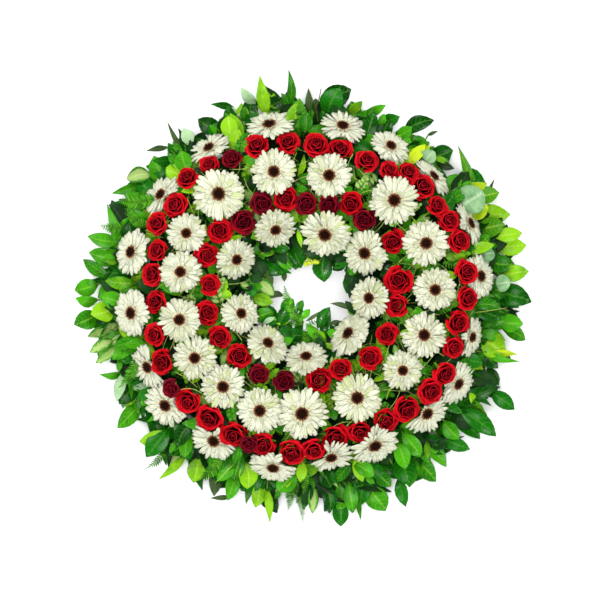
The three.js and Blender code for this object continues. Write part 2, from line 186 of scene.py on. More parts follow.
ROSE_ROWS = {
    Row.INNER: RoseRow(
        height=117, lean=-8, reach=78,
        arcs=(
            (
                (32, 195, 46), (52, 184, 42), (63, 195, 48), (74, 176, 42), (88, 174, 44),
                (100, 186, 50), (113, 190, 44), (128, 178, 44), (141, 198, 46),
            ),
            (
                (156, 193, 43), (172, 174, 42), (189, 178, 48), (205.5, 171, 42),
                (222, 159, 48), (240, 163, 40), (257, 157, 40),
            ),
            (
                (281, 155, 50), (298, 148, 43), (318, 166, 43), (336.5, 168, 43),
                (355.5, 173, 45), (370.5, 179, 52),
            ),
        ),
    ),
    Row.OUTER: RoseRow(
        height=106, lean=25, reach=70,
        arcs=(
            (
                (342, 301, 45), (351, 299, 46), (360, 313, 47), (369, 314, 45), (380, 316, 46),
                (388, 314, 43), (394.5, 309, 43), (403, 311, 51), (410, 311, 43),
                (416, 292, 39), (425, 288, 46), (436, 291, 46), (445, 292, 47),
            ),
            (
                (95.5, 296, 43), (107, 302, 46), (117, 297, 41), (125, 309, 39),
                (134, 317, 45), (144, 300, 46), (153, 310, 43), (162, 291, 43),
                (171, 290, 46), (181.5, 280, 46), (194, 290, 46), (204.5, 294, 48),
            ),
            (
                (214.5, 303, 33), (222, 294, 51), (232, 289, 49), (243, 292, 51),
                (249.5, 294, 35), (255, 290, 46), (266, 296, 51), (274, 290, 45),
                (283, 272, 49), (293, 276, 48), (304, 282, 49), (313, 289, 51),
                (324, 301, 51), (332, 306, 46),
            ),
        ),
    ),
}

# The bearings of the roses whose petals are a darker crimson.
CRIMSON = {Row.INNER: (52, 74, 88, 113, 128, 240, 257), Row.OUTER: (117, 249.5, 214.5)}

COLLARS = {
    Row.OUTER: Collar(
        band_inner=301.6, band_outer=306, root_radius=304, foot_heights=(10, 20, 15),
        tip_rise=12, tip_scatter=12,
        arcs=(
            (
                (339.5, 370, 336, 400, 18, "D"), (343, 350, 343.7, 421, 12, "M"),
                (347.5, 345, 345, 391, 42, "L"), (351.2, 380, 349.3, 422, 23, "M"),
                (353.5, 370, 353.3, 412, 30, "M"), (357, 350, 357, 392, 22, "V"),
                (362, 357, 359, 426, 36, "D"), (367, 372, 366.7, 423, 28, "L"),
                (372, 352, 369, 399, 30, "M"), (375, 372, 373.3, 428, 30, "L"),
                (378, 375, 376.5, 426, 24, "L"), (382, 352, 380, 400, 32, "L"),
                (386, 358, 382, 417, 34, "L"), (391, 372, 388.2, 415, 28, "L"),
                (393, 352, 391.9, 404, 22, "Y"), (398, 357, 392, 402, 48, "D"),
                (405.5, 356, 400.5, 373, 14, "N"), (408.5, 360, 404.5, 392, 30, "D"),
                (412, 345, 410, 372, 14, "Y"), (418.6, 362, 413.6, 411, 26, "D"),
                (425, 360, 422, 386, 22, "D"), (431.5, 364, 426.8, 391, 16, "M"),
                (436, 355, 433.3, 386, 18, "L"), (443, 345, 440, 397, 38, "D"),
                (445, 374, 437, 399, 38, "D"), (448, 350, 448.5, 391, 12, "N"),
                (357, 314, 357, 372, 22, "M", 50, 42), (375.5, 314, 375.5, 372, 20, "L", 50, 44),
                (393.5, 314, 393, 370, 20, "M", 50, 44), (411.5, 314, 411.5, 368, 20, "Y", 50, 42),
                (428.5, 314, 429, 374, 24, "D", 50, 46),
            ),
            (
                (91.5, 312, 91, 374, 24, "M", 52, 46), (93.5, 345, 96, 386, 16, "M"),
                (94.5, 354, 93.6, 427, 15, "M"), (95, 374, 101.8, 364, 24, "D"),
                (101, 352, 101, 422, 22, "L"), (104, 372, 106.3, 408, 20, "S"),
                (109, 345, 107.6, 384, 22, "L"), (112, 345, 111.3, 388, 22, "D"),
                (110, 380, 115.5, 400, 13, "D"), (116, 350, 120.4, 390, 28, "D"),
                (126.5, 355, 125.1, 390, 22, "S"), (129.4, 350, 127.5, 416, 9, "N"),
                (130.5, 348, 131, 386, 20, "D"), (132, 380, 136.8, 400, 10, "N"),
                (132.5, 352, 137.5, 382, 18, "D"), (136, 345, 140, 385, 22, "M"),
                (141, 365, 146, 397, 26, "V"), (145.5, 372, 151.3, 406, 16, "M"),
                (151.3, 350, 154.4, 402, 26, "D"), (157, 345, 160.3, 404, 26, "F"),
                (163, 360, 164, 417, 24, "M"), (166, 350, 168, 408, 30, "M"),
                (174, 366, 170, 416, 22, "M"), (176, 385, 178, 426, 30, "M"),
                (180.5, 385, 180, 424, 20, "M"), (183, 355, 184.5, 396, 34, "L"),
                (184.4, 387, 186.6, 429, 32, "M"), (189, 362, 190.2, 408, 20, "V"),
                (192.5, 365, 194.3, 410, 20, "V"), (194.5, 355, 197.5, 405, 20, "V"),
                (202.5, 368, 200.5, 405, 13, "M"), (202.5, 362, 209, 396, 20, "S"),
                (206.7, 350, 210, 395, 30, "D"), (213.2, 362, 215, 422, 28, "M"),
                (111.5, 312, 111.5, 372, 22, "L", 50, 44), (133, 316, 133, 372, 20, "M", 46, 44),
                (154.5, 314, 154.5, 370, 22, "F", 48, 44), (175, 314, 175, 372, 22, "L", 48, 44),
                (194.5, 312, 194.5, 368, 22, "M", 50, 46), (211, 312, 211, 366, 18, "D", 50, 42),
            ),
            (
                (226.4, 356, 221.2, 405, 30, "L"), (224, 350, 225.4, 416, 34, "D"),
                (228, 378, 227.2, 435, 20, "F"), (230, 352, 231.3, 402, 28, "V"),
                (233.5, 370, 231.5, 432, 15, "L"), (237, 355, 239.3, 400, 30, "L"),
                (242, 362, 245.8, 405, 22, "N"), (250, 348, 249.5, 402, 24, "M"),
                (254.5, 350, 254.5, 398, 14, "M"), (257, 350, 257.2, 400, 25, "L"),
                (259.3, 365, 261.6, 423, 14, "L"), (265, 345, 266, 396, 22, "F"),
                (266.5, 350, 270, 421, 20, "F"), (273, 350, 272.5, 402, 18, "V"),
                (276, 350, 277, 404, 24, "D"), (280.3, 386, 279.4, 432, 26, "D"),
                (284, 355, 283, 411, 24, "M"), (285.8, 362, 284.6, 428, 12, "M"),
                (289, 372, 291.2, 426, 36, "M"), (298, 382, 296.2, 433, 22, "D"),
                (301.5, 345, 299.5, 400, 38, "D"), (304, 365, 305.9, 422, 30, "M"),
                (309, 355, 310.3, 413, 26, "M"), (314.8, 368, 317.8, 420, 23, "D"),
                (322, 350, 321.5, 422, 26, "D"), (324.8, 356, 324.4, 443, 30, "D"),
                (328, 358, 326.9, 412, 42, "L"), (333.6, 393, 332.2, 446, 25, "D"),
                (228, 312, 228, 366, 24, "F", 50, 42), (249, 312, 249, 366, 24, "M", 50, 42),
                (270, 312, 270, 368, 22, "F", 50, 44), (288, 312, 288, 362, 20, "L", 50, 40),
                (306.5, 312, 306.5, 370, 26, "M", 52, 46), (324, 312, 324, 364, 18, "D", 50, 42),
            ),
        ),
    ),
    Row.INNER: Collar(
        band_inner=116.6, band_outer=121, root_radius=119, foot_heights=(34, 48, 41),
        tip_rise=2, tip_scatter=8,
        arcs=(
            (
                (348, 104, 348, 58, 9, "N"), (385, 106, 366, 82, 20, "D"),
                (424, 94, 397, 50, 32, "D"), (442, 104, 440, 68, 18, "Y"),
            ),
            (
                (100, 102, 105, 55, 32, "D"), (117, 104, 118, 62, 28, "D"),
                (141, 106, 129, 57, 22, "D"), (152, 102, 141, 74, 26, "L"),
                (168, 104, 163, 67, 26, "V"), (181, 96, 175, 40, 9, "N"),
                (190, 104, 188, 62, 26, "L"), (202, 104, 206, 60, 24, "M"),
            ),
            (
                (217, 100, 224, 54, 22, "D"), (229, 72, 205, 22, 22, "D"),
                (240, 100, 244, 50, 22, "D"), (262, 92, 267, 12, 15, "D"),
                (276, 100, 280, 54, 22, "F"), (296, 84, 337, 55, 15, "D"),
                (306, 100, 312, 66, 20, "D"),
            ),
        ),
    ),
}



@dataclass(frozen=True)
class Seeds:
    """How the part numbers its scatter: from a first seed, by row, by arc and by place."""

    first: int
    row_step: int
    arc_step: int = 0

    def of(self, row: int, arc: int = 0, place: int = 0) -> int:
        """Gives the seed of one bloom or leaf."""
        return self.first + self.row_step * row + self.arc_step * arc + place


GERBERA_SEEDS = Seeds(100, 20)
ROSE_SEEDS = Seeds(200, 40, 15)
LEAF_SEEDS = Seeds(400, 150, 40)

# Sprigs with no solid of their own, in the collar's way of writing, with their heights.
SPRIGS = (
    (388, 345, 386, 388, 34, "Y", 26, 34), (420, 350, 417, 382, 22, "M", 24, 30),
    (148, 350, 150, 388, 22, "M", 24, 30), (293, 350, 295, 390, 26, "M", 24, 30),
    (319, 350, 318, 395, 26, "M", 22, 28), (343.8, 367, 345.3, 416, 13, "Y", 30, 30),
    (52.5, 385, 51, 404, 6, "N", 20, 22), (29, 398, 32, 425, 5, "N", 20, 22),
    (250, 398, 245.2, 414, 9, "N", 20, 22), (208, 380, 211.5, 397, 12, "S", 20, 22),
)

# Round silver-green leaves: (bearing, radius, radius of the leaf, height).
COINS = ((30.3, 367, 25, 44), (4.3, 376, 14, 40), (13, 355, 14, 40), (48.3, 356, 13, 40))

# Leaves round the open heart of the wreath: (foot x, foot y, tip x, tip y, width, tone,
# foot height, tip height).
HEART = (
    (-48, 89, -23, 53, 25, "M", 52, 50), (-18, 99, -4, 56, 27, "D", 48, 46),
    (-92, 73, -22, 46, 22, "D", 40, 42), (-34, 50, -35, 31, 10, "N", 36, 36),
    (-94, 104, -70, 79, 22, "M", 60, 58), (-82, 81, -50, 87, 11, "L", 66, 64),
    (-70, 56, -58, 22, 11, "N", 50, 46), (-116, 20, -70, 30, 24, "M", 56, 52),
    (-86, 36, -55, 5, 24, "V", 54, 50), (-96, 4, -56, -9, 22, "L", 50, 48),
    (-110, 14, -72, 8, 24, "M", 46, 46), (-62, 10, -36, 4, 10, "N", 48, 44),
    (-84, -17, -46, -35, 22, "D", 46, 42), (-80, -46, -44, -40, 18, "D", 50, 46),
    (-76, -50, -52, -36, 9, "S", 54, 54), (-57, -41, -25, -45, 11, "L", 50, 46),
    (-64, -46, -24, -58, 15, "D", 46, 42), (8, -69, -30, -63, 22, "D", 50, 50),
    (44, -82, 19, -61, 16, "L", 54, 52), (-18, -2, -40, -26, 23, "D", 52, 50),
    (-10, -25, 0, -4, 13, "M", 48, 46), (-4, -40, 13, -21, 12, "M", 50, 46),
    (6, -43, 38, -22, 6, "N", 50, 50), (27, -56, 50, -17, 20, "D", 56, 54),
    (38, -76, 43, -40, 14, "D", 50, 48), (49, -50, 68, -42, 8, "N", 52, 52),
    (90, -21, 51, -10, 9, "N", 56, 52), (88, -19, 79, -6, 9, "N", 54, 52),
    (104, 46, 80, 19, 13, "D", 56, 50), (98, 24, 87, 0, 15, "D", 56, 52),
    (84, 88, 58, 54, 18, "D", 62, 58), (84, 96, 62, 76, 20, "D", 56, 54),
    (-10, 128, -3, 94, 9, "L", 84, 76), (34, 84, 20, 70, 13, "D", 58, 54),
    (-60, 108, -40, 92, 16, "D", 62, 58), (-106, 52, -84, 60, 18, "D", 60, 56),
    (-26, -78, -52, -62, 18, "D", 54, 50), (66, -70, 44, -62, 14, "M", 58, 54),
    (32, -82, 6, -48, 17, "M", 52, 50), (40, -86, 16, -66, 15, "D", 56, 54),
    (-32, -86, -14, -56, 19, "D", 50, 48), (-46, -88, -18, -76, 15, "M", 58, 56),
    (4, -94, 10, -62, 20, "D", 46, 44), (22, -92, 28, -58, 16, "D", 44, 42),
    (-12, -92, -6, -66, 18, "M", 44, 44), (-64, -66, -38, -62, 16, "D", 44, 42),
)

# Yellow-green buds on the thin twig at the heart: (x, y, height, radius).
BUDS = ((6, 64, 56, 5.5), (13, 66, 58, 4.5), (22, 68, 58, 5.5), (27, 67, 57, 4.0))

# Thin twigs: points (x, y, height) that each one follows.
TWIGS = (
    ((0, 92, 70), (6, 82, 64), (13, 74, 60), (24, 71, 58), (36, 73, 60)),
    ((-92, 64, 56), (-82, 54, 54), (-76, 46, 50), (-70, 36, 46)),
    ((28, 330, 70), (24, 356, 62), (16, 376, 56), (10, 392, 54)),
    ((24, 356, 62), (30, 372, 60), (34, 392, 58)),
)

# Fern fronds among the flowers, in the collar's way of writing.
FRONDS = (
    (268.5, 51, 146, 42, 26, "F", 52, 60), (262, 50, 232, 46, 22, "F", 50, 52),
    (277, 60, 303, 50, 18, "F", 52, 54), (284, 92, 296, 62, 16, "F", 56, 54),
    (158, 216, 150, 212, 20, "F", 96, 104), (146, 330, 152, 392, 34, "F", 60, 44),
    (88, 318, 91, 372, 28, "F", 62, 50),
    (200, 330, 206, 384, 26, "F", 56, 40), (243, 330, 240, 396, 28, "F", 52, 36),
    (268, 250, 262, 292, 22, "F", 92, 86), (14, 268, 10, 300, 22, "F", 90, 88),
)


# ------------------------------------------------------------------------------- measuring


def scatter(seed: float | np.ndarray) -> np.ndarray:
    """Gives the part's own repeatable scatter between -1 and 1: the fraction of a large sine."""
    wave = np.sin(np.asarray(seed, float) * 12.9898) * 43758.5453
    return 2 * (wave - np.floor(wave)) - 1


def polar(bearing: Any, radius: Any, height: Any) -> np.ndarray:
    """Turns bearings, radii and heights into points.

    Args:
        bearing: degrees anticlockwise from +X, one or many.
        radius: one or many.
        height: one or many.

    Returns:
        Points (many, 3), or one point.
    """
    angle = np.radians(np.asarray(bearing, float))
    x, y, z = np.broadcast_arrays(radius * np.cos(angle), radius * np.sin(angle), height)
    return np.stack([x, y, z], -1).astype(float)


def unit(vectors: np.ndarray) -> np.ndarray:
    """Scales vectors to length 1 along their last axis."""
    return vectors / np.maximum(np.linalg.norm(vectors, axis=-1, keepdims=True), 1e-9)


def column(values: Any, count: int) -> np.ndarray:
    """Spreads one value, or one for each of `count` skins, over an array (count, 1, 1)."""
    return np.broadcast_to(np.asarray(values, float), (count,)).reshape(count, 1, 1)


@dataclass(frozen=True)
class Stance:
    """Where a bloom stands: its own axes as the columns of a turn, and its middle."""

    turn: np.ndarray
    middle: np.ndarray

    @classmethod
    def of(cls, bearing: float, radius: float, height: float, lean: float) -> "Stance":
        """Stands a bloom at a bearing, radius and height with its axis leaning outwards.

        The turn is the bearing about z after the lean about y, so that the bloom's own z is
        its axis and its own x points away from the middle of the wreath.

        Args:
            bearing: degrees anticlockwise from +X.
            radius: from the middle of the wreath.
            height: of the bloom's own origin above the floor.
            lean: degrees that the axis leans outwards.

        Returns:
            The stance.
        """
        bearing, lean = math.radians(bearing), math.radians(lean)
        c, s = math.cos(bearing), math.sin(bearing)
        about_z = np.array([[c, -s, 0], [s, c, 0], [0, 0, 1]])
        c, s = math.cos(lean), math.sin(lean)
        about_y = np.array([[c, 0, s], [0, 1, 0], [-s, 0, c]])
        return cls(about_z @ about_y, about_z @ np.array([radius, 0.0, height]))

    def place(self, points: np.ndarray) -> np.ndarray:
        """Carries points from the bloom's own axes to the wreath's."""
        return points @ self.turn.T + self.middle


# -------------------------------------------------------------------------------- finishes


def paint(red: int, green: int, blue: int) -> Color:
    """Turns display values into the linear colour that shaders take.

    Args:
        red: from 0 to 255.
        green: likewise.
        blue: likewise.

    Returns:
        The colour, with no transparency.
    """

    def linear(value: int) -> float:
        """Turns one value by the display's own curve."""
        share = value / 255
        return share / 12.92 if share <= 0.04045 else ((share + 0.055) / 1.055) ** 2.4

    return (linear(red), linear(green), linear(blue), 1.0)


class Recipe:
    """A material being mixed: its node tree and short ways to add nodes to it."""

    def __init__(self, name: str, roughness: float, gloss: float) -> None:
        """Starts a material with a Principled shader.

        Args:
            name: the material's name.
            roughness: of the shader.
            gloss: how strongly it mirrors light.
        """
        self.material = bpy.data.materials.new(name)
        self.material.use_nodes = True
        self.tree = self.material.node_tree
        self.shader = self.tree.nodes["Principled BSDF"]
        self.shader.inputs["Roughness"].default_value = roughness
        self.shader.inputs["Specular IOR Level"].default_value = gloss

    def node(self, kind: str, inputs: dict[int | str, Any], **settings: Any) -> bpy.types.Node:
        """Adds a node.

        Args:
            kind: the node's type name.
            inputs: for each input, by name or index, a socket to link or a value to set.
            settings: the node's own properties.

        Returns:
            The node.
        """
        node = self.tree.nodes.new(kind)
        for key, value in settings.items():
            setattr(node, key, value)
        for key, value in inputs.items():
            if isinstance(value, bpy.types.NodeSocket):
                self.tree.links.new(value, node.inputs[key])
            else:
                node.inputs[key].default_value = value
        return node

    def surface(self) -> tuple[bpy.types.NodeSocket, ...]:
        """Reads a skin's own coordinates.

        Returns:
            Across from -1 to 1, along from 0 to 1, and the skin's tint.
        """
        source = self.node("ShaderNodeAttribute", {}, attribute_name=Growth.COORDINATES)
        parts = self.node("ShaderNodeSeparateXYZ", {0: source.outputs["Vector"]})
        return tuple(parts.outputs)

    def age(self) -> bpy.types.NodeSocket:
        """Reads a skin's age, from 0 at the heart of a bloom to 1 at its outermost petal."""
        return self.node("ShaderNodeAttribute", {}, attribute_name=Growth.AGE).outputs["Fac"]

    def math(self, operation: str, *values: Any) -> bpy.types.NodeSocket:
        """Adds a Math node over sockets and numbers and returns its result."""
        return self.node("ShaderNodeMath", dict(enumerate(values)), operation=operation).outputs[0]

    def ease(self, value: Any, low: float, high: float) -> bpy.types.NodeSocket:
        """Returns 0 where the value is below low, 1 above high, and a smooth step between."""
        span = {0: value, 1: low, 2: high}
        return self.node("ShaderNodeMapRange", span, interpolation_type="SMOOTHSTEP").outputs[0]

    def mix(self, share: Any, low: Any, high: Any) -> bpy.types.NodeSocket:
        """Mixes two colours, giving the second where the share is 1."""
        ends = {0: share, 6: low, 7: high}
        return self.node("ShaderNodeMix", ends, data_type="RGBA").outputs[2]

    def place(self) -> bpy.types.NodeSocket:
        """Returns where a point lies on the piece."""
        return self.node("ShaderNodeTexCoord", {}).outputs["Object"]

    def noise(self, scale: float, detail: float = 3.0) -> bpy.types.NodeSocket:
        """Returns a soft noise over the piece, with `scale` lumps a metre."""
        inputs = {"Vector": self.place(), "Scale": scale, "Detail": detail}
        return self.node("ShaderNodeTexNoise", inputs).outputs[0]

    def cells(self, scale: float) -> bpy.types.NodeSocket:
        """Returns the distance to the middle of small cells, `scale` of them a metre."""
        inputs = {"Vector": self.place(), "Scale": scale}
        return self.node("ShaderNodeTexVoronoi", inputs).outputs[0]

    def finish(self, color: Any, height: Any, depth: float) -> bpy.types.Material:
        """Joins the colour and the relief to the shader.

        Args:
            color: socket of the colour.
            height: socket of the relief's height, from 0 to 1.
            depth: how deep the relief is, in metres.

        Returns:
            The finished material.
        """
        bump = self.node("ShaderNodeBump", {"Distance": depth, "Height": height})
        self.tree.links.new(color, self.shader.inputs["Base Color"])
        self.tree.links.new(bump.outputs[0], self.shader.inputs["Normal"])
        return self.material


@dataclass(frozen=True)
class GerberaPetalFinish:
    """Ivory petals: greenish at the foot, with fine grooves along them and a soft sheen."""

    name: str = "gerbera_petal"
    foot: Color = paint(214, 214, 176)
    blade: Color = paint(225, 227, 204)
    groove: Color = paint(170, 176, 130)
    # shade is a painted shade: a darker copy of the blade that a share of the petals is mixed
    # towards.
    shade: Color = paint(196, 200, 164)
    green: Color = paint(196, 212, 132)
    grooves: float = 12.0
    shift: float = 40.0
    relief: float = 0.0012
    roughness: float = 0.7
    gloss: float = 0.12

    def material(self) -> bpy.types.Material:
        """Mixes the petal's material; its tint shifts the grooves, adds painted shade, greens it.

        Returns:
            The material.
        """
        recipe = Recipe(self.name, self.roughness, self.gloss)
        across, along, tint = recipe.surface()
        phase = recipe.math("MULTIPLY", tint, self.shift)
        turn = recipe.math("MULTIPLY_ADD", across, self.grooves, phase)
        wave = recipe.math("MULTIPLY_ADD", recipe.math("SINE", turn), 0.5, 0.5)
        body = recipe.mix(recipe.ease(along, 0.0, 0.45), self.foot, self.blade)
        # Painted shade: a share of the petals, chosen at random by tint, is darkened towards the
        # shade colour.
        shaded = recipe.math("MULTIPLY", recipe.ease(tint, 0.35, 0.85), 0.8)
        body = recipe.mix(shaded, body, self.shade)
        greenish = recipe.math("MULTIPLY", recipe.ease(tint, 0.93, 0.96), 0.6)
        body = recipe.mix(greenish, body, self.green)
        # Darker along the grooves: partly the petals' own greenish lines, partly painted shade in
        # the grooves.
        lined = recipe.math("MULTIPLY", recipe.ease(wave, 0.45, 0.0), 0.55)
        # Painted shade: the petals' edges are darkened towards the groove colour, as the shade
        # between overlapping petals.
        edge = recipe.math("MULTIPLY", recipe.ease(recipe.math("ABSOLUTE", across), 0.8, 1.0), 0.12)
        color = recipe.mix(recipe.math("MAXIMUM", lined, edge), body, self.groove)
        return recipe.finish(color, wave, self.relief)


@dataclass(frozen=True)
class RosePetalFinish:
    """Velvet red petals: painted near-black shade below, a painted rim highlight, some crimson."""

    name: str = "rose_petal"
    # depth is a painted shade, near black low in the bloom; heart is the young inner petals' body,
    # darkened as the painted shade of the deep heart.
    depth: Color = paint(30, 0, 3)
    heart: Color = paint(96, 0, 8)
    body: Color = paint(176, 0, 12)
    # rim and crimson_rim are painted highlights: the lit rims of the petals.
    rim: Color = paint(234, 22, 44)
    crimson: Color = paint(78, 0, 12)
    crimson_rim: Color = paint(158, 16, 48)
    clouds: float = 90.0
    veins: float = 24.0
    relief: float = 0.0006
    roughness: float = 0.6
    gloss: float = 0.06

    def material(self) -> bpy.types.Material:
        """Mixes the petal's material; the painted shade below ends lower on the older petals.

        Returns:
            The material.
        """
        recipe = Recipe(self.name, self.roughness, self.gloss)
        across, along, tint = recipe.surface()
        age = recipe.age()
        cloud = recipe.noise(self.clouds)
        dark = recipe.ease(tint, 0.5, 0.9)
        # Painted shade: the young petals of the heart are darker.
        body = recipe.mix(recipe.ease(age, 0.1, 0.7), self.heart, self.body)
        body = recipe.mix(dark, body, self.crimson)
        rim = recipe.mix(dark, self.rim, self.crimson_rim)
        reach = recipe.math("MULTIPLY_ADD", age, 0.34, along)
        # Painted shade: near black low on each petal, ending lower on the older ones.
        color = recipe.mix(recipe.ease(reach, 0.7, 1.06), self.depth, body)
        # Painted highlight: the rim is mixed towards a bright red, brighter on the older petals.
        bright = recipe.math("MULTIPLY_ADD", age, 0.72, 0.28)
        painted_highlight = recipe.math("MULTIPLY", recipe.ease(along, 0.86, 1.0), bright)
        color = recipe.mix(painted_highlight, color, rim)
        # Darker towards near black in random cloudy patches.
        dark_clouds = recipe.math("MULTIPLY", recipe.ease(cloud, 0.5, 0.75), 0.5)
        color = recipe.mix(dark_clouds, color, self.depth)
        veins = recipe.math("SINE", recipe.math("MULTIPLY", across, self.veins))
        height = recipe.math("MULTIPLY_ADD", veins, 0.12, cloud)
        return recipe.finish(color, height, self.relief)


@dataclass(frozen=True)
class LeafFinish:
    """A leaf's colours: the blade between two greens, the paler rib and veins, and its gloss."""

    name: str
    low: Color
    high: Color
    rib: Color
    roughness: float = 0.3
    gloss: float = 0.14
    vein_pairs: float = 7.0
    stripe: float = 0.0
    rib_share: float = 0.3
    vein_share: float = 0.16
    clouds: float = 60.0
    frayed: float = 420.0
    relief: float = 0.0007

    def material(self) -> bpy.types.Material:
        """Mixes the leaf's material: the rib at the middle, veins slanting to the edges.

        Returns:
            The material.
        """
        recipe = Recipe(self.name, self.roughness, self.gloss)
        across, along, tint = recipe.surface()
        side = recipe.math("ABSOLUTE", across)
        cloud = recipe.noise(self.clouds)
        share = recipe.math("MULTIPLY_ADD", cloud, 0.8, recipe.math("MULTIPLY", tint, 0.6))
        color = recipe.mix(recipe.ease(share, 0.35, 0.95), self.low, self.high)
        spread = recipe.math("MULTIPLY", side, 1.6)
        slant = recipe.math("SUBTRACT", recipe.math("MULTIPLY", along, self.vein_pairs), spread)
        wave = recipe.math("SINE", recipe.math("MULTIPLY", slant, 2 * math.pi))
        vein = recipe.ease(wave, 0.72, 1.0)
        rib = recipe.ease(side, 0.09, 0.02)
        if self.stripe:
            reach = recipe.math("ADD", side, recipe.noise(self.frayed))
            band = recipe.math("MULTIPLY", recipe.ease(reach, 1.1, 0.8), self.stripe)
            color = recipe.mix(band, color, self.rib)
        color = recipe.mix(recipe.math("MULTIPLY", vein, self.vein_share), color, self.rib)
        color = recipe.mix(recipe.math("MULTIPLY", rib, self.rib_share), color, self.rib)
        raised = recipe.math("MAXIMUM", rib, recipe.math("MULTIPLY", vein, 0.6))
        return recipe.finish(color, recipe.math("SUBTRACT", 1.0, raised), self.relief)


@dataclass(frozen=True)
class GrainFinish:
    """A grainy surface between two colours: noise for cloth-like stems, cells for foam."""

    name: str
    low: Color
    high: Color
    roughness: float = 0.6
    grain: float = 300.0
    relief: float = 0.0004
    cellular: bool = False
    gloss: float = 0.1

    def material(self) -> bpy.types.Material:
        """Mixes the material from noise, or from cells where it is cellular.

        Returns:
            The material.
        """
        recipe = Recipe(self.name, self.roughness, self.gloss)
        pattern = recipe.cells(self.grain) if self.cellular else recipe.noise(self.grain)
        color = recipe.mix(recipe.ease(pattern, 0.25, 0.75), self.low, self.high)
        return recipe.finish(color, pattern, self.relief)


@dataclass(frozen=True)
class TipFinish:
    """Small florets that change from a dark foot to a paler tip."""

    name: str
    foot: Color
    tip: Color
    start: float
    roughness: float = 0.8
    gloss: float = 0.08
    grain: float = 700.0
    relief: float = 0.0004

    def material(self) -> bpy.types.Material:
        """Mixes the material along each floret.

        Returns:
            The material.
        """
        recipe = Recipe(self.name, self.roughness, self.gloss)
        _, along, tint = recipe.surface()
        reach = recipe.math("ADD", along, recipe.math("MULTIPLY", tint, 0.3))
        color = recipe.mix(recipe.ease(reach, self.start, 1.1), self.foot, self.tip)
        return recipe.finish(color, recipe.noise(self.grain), self.relief)


IVORY = GerberaPetalFinish()
CREAM = TipFinish("gerbera_cream_florets", paint(140, 104, 56), paint(232, 226, 186), 0.1)
FRINGE = TipFinish("gerbera_fringe", paint(48, 18, 10), paint(118, 62, 38), 0.5)
EYE = GrainFinish(
    "gerbera_eye", paint(8, 3, 1), paint(36, 16, 6), 0.9, 620.0, 0.0012, True, 0.03
)
VELVET = RosePetalFinish()
STALK = GrainFinish("green_stalk", paint(58, 100, 20), paint(104, 150, 44), 0.55, 260.0)
STRAW = GrainFinish("pale_stem", paint(122, 148, 40), paint(186, 196, 104), 0.55, 260.0)
TWIG = GrainFinish("brown_twig", paint(46, 32, 20), paint(88, 66, 40), 0.7, 320.0)
BUD = GrainFinish("yellow_bud", paint(136, 156, 16), paint(188, 202, 58), 0.5, 200.0)
TAPE = GrainFinish("stem_tape", paint(20, 58, 18), paint(40, 86, 32), 0.6, 500.0)
# Painted shade: the foam is near black green, as the dark shade in the gaps between the flowers.
SHADED_FOAM = GrainFinish(
    "floral_foam", paint(4, 22, 8), paint(14, 46, 18), 0.95, 420.0, 0.0014, True, 0.0
)
TRAY = GrainFinish("tray_plastic", paint(10, 34, 16), paint(18, 46, 24), 0.45, 240.0, 0.0002)
FLOOR = GrainFinish(
    "pale_floor", paint(250, 250, 250), paint(251, 251, 251), 0.9, 1.5, 0.0, False, 0.0
)

LEAF_FINISHES = {
    tone: LeafFinish(f"leaf_{tone.name.lower()}", paint(*low), paint(*high), paint(*rib), *rest)
    for tone, low, high, rib, *rest in (
        # Painted shade: the SHADED leaves' near black greens.
        (Tone.SHADED, (4, 30, 2), (12, 58, 6), (40, 90, 20), 0.4, 0.15),
        (Tone.DEEP, (2, 54, 0), (16, 100, 6), (84, 150, 40), 0.2),
        (Tone.MID, (18, 94, 0), (62, 150, 8), (140, 196, 60), 0.24),
        (Tone.LIME, (56, 126, 0), (126, 184, 12), (190, 220, 90), 0.28),
        (Tone.YELLOW, (122, 164, 0), (180, 204, 20), (214, 230, 104), 0.4),
        (Tone.SILVER, (84, 134, 84), (160, 194, 146), (208, 226, 190), 0.5),
        (Tone.STRIPED, (22, 98, 6), (70, 150, 20), (202, 222, 136), 0.34, 0.14, 7.0, 0.5),
        (Tone.OLIVE, (24, 46, 16), (62, 86, 42), (120, 134, 94), 0.36),
        (Tone.FERN, (22, 102, 4), (90, 174, 28), (150, 206, 74), 0.5),
    )
}


@cache
def material_of(finish: Any) -> bpy.types.Material:
    """Mixes a finish's material once and hands out the same one after that."""
    return finish.material()


# ------------------------------------------------------------------------- closed skins


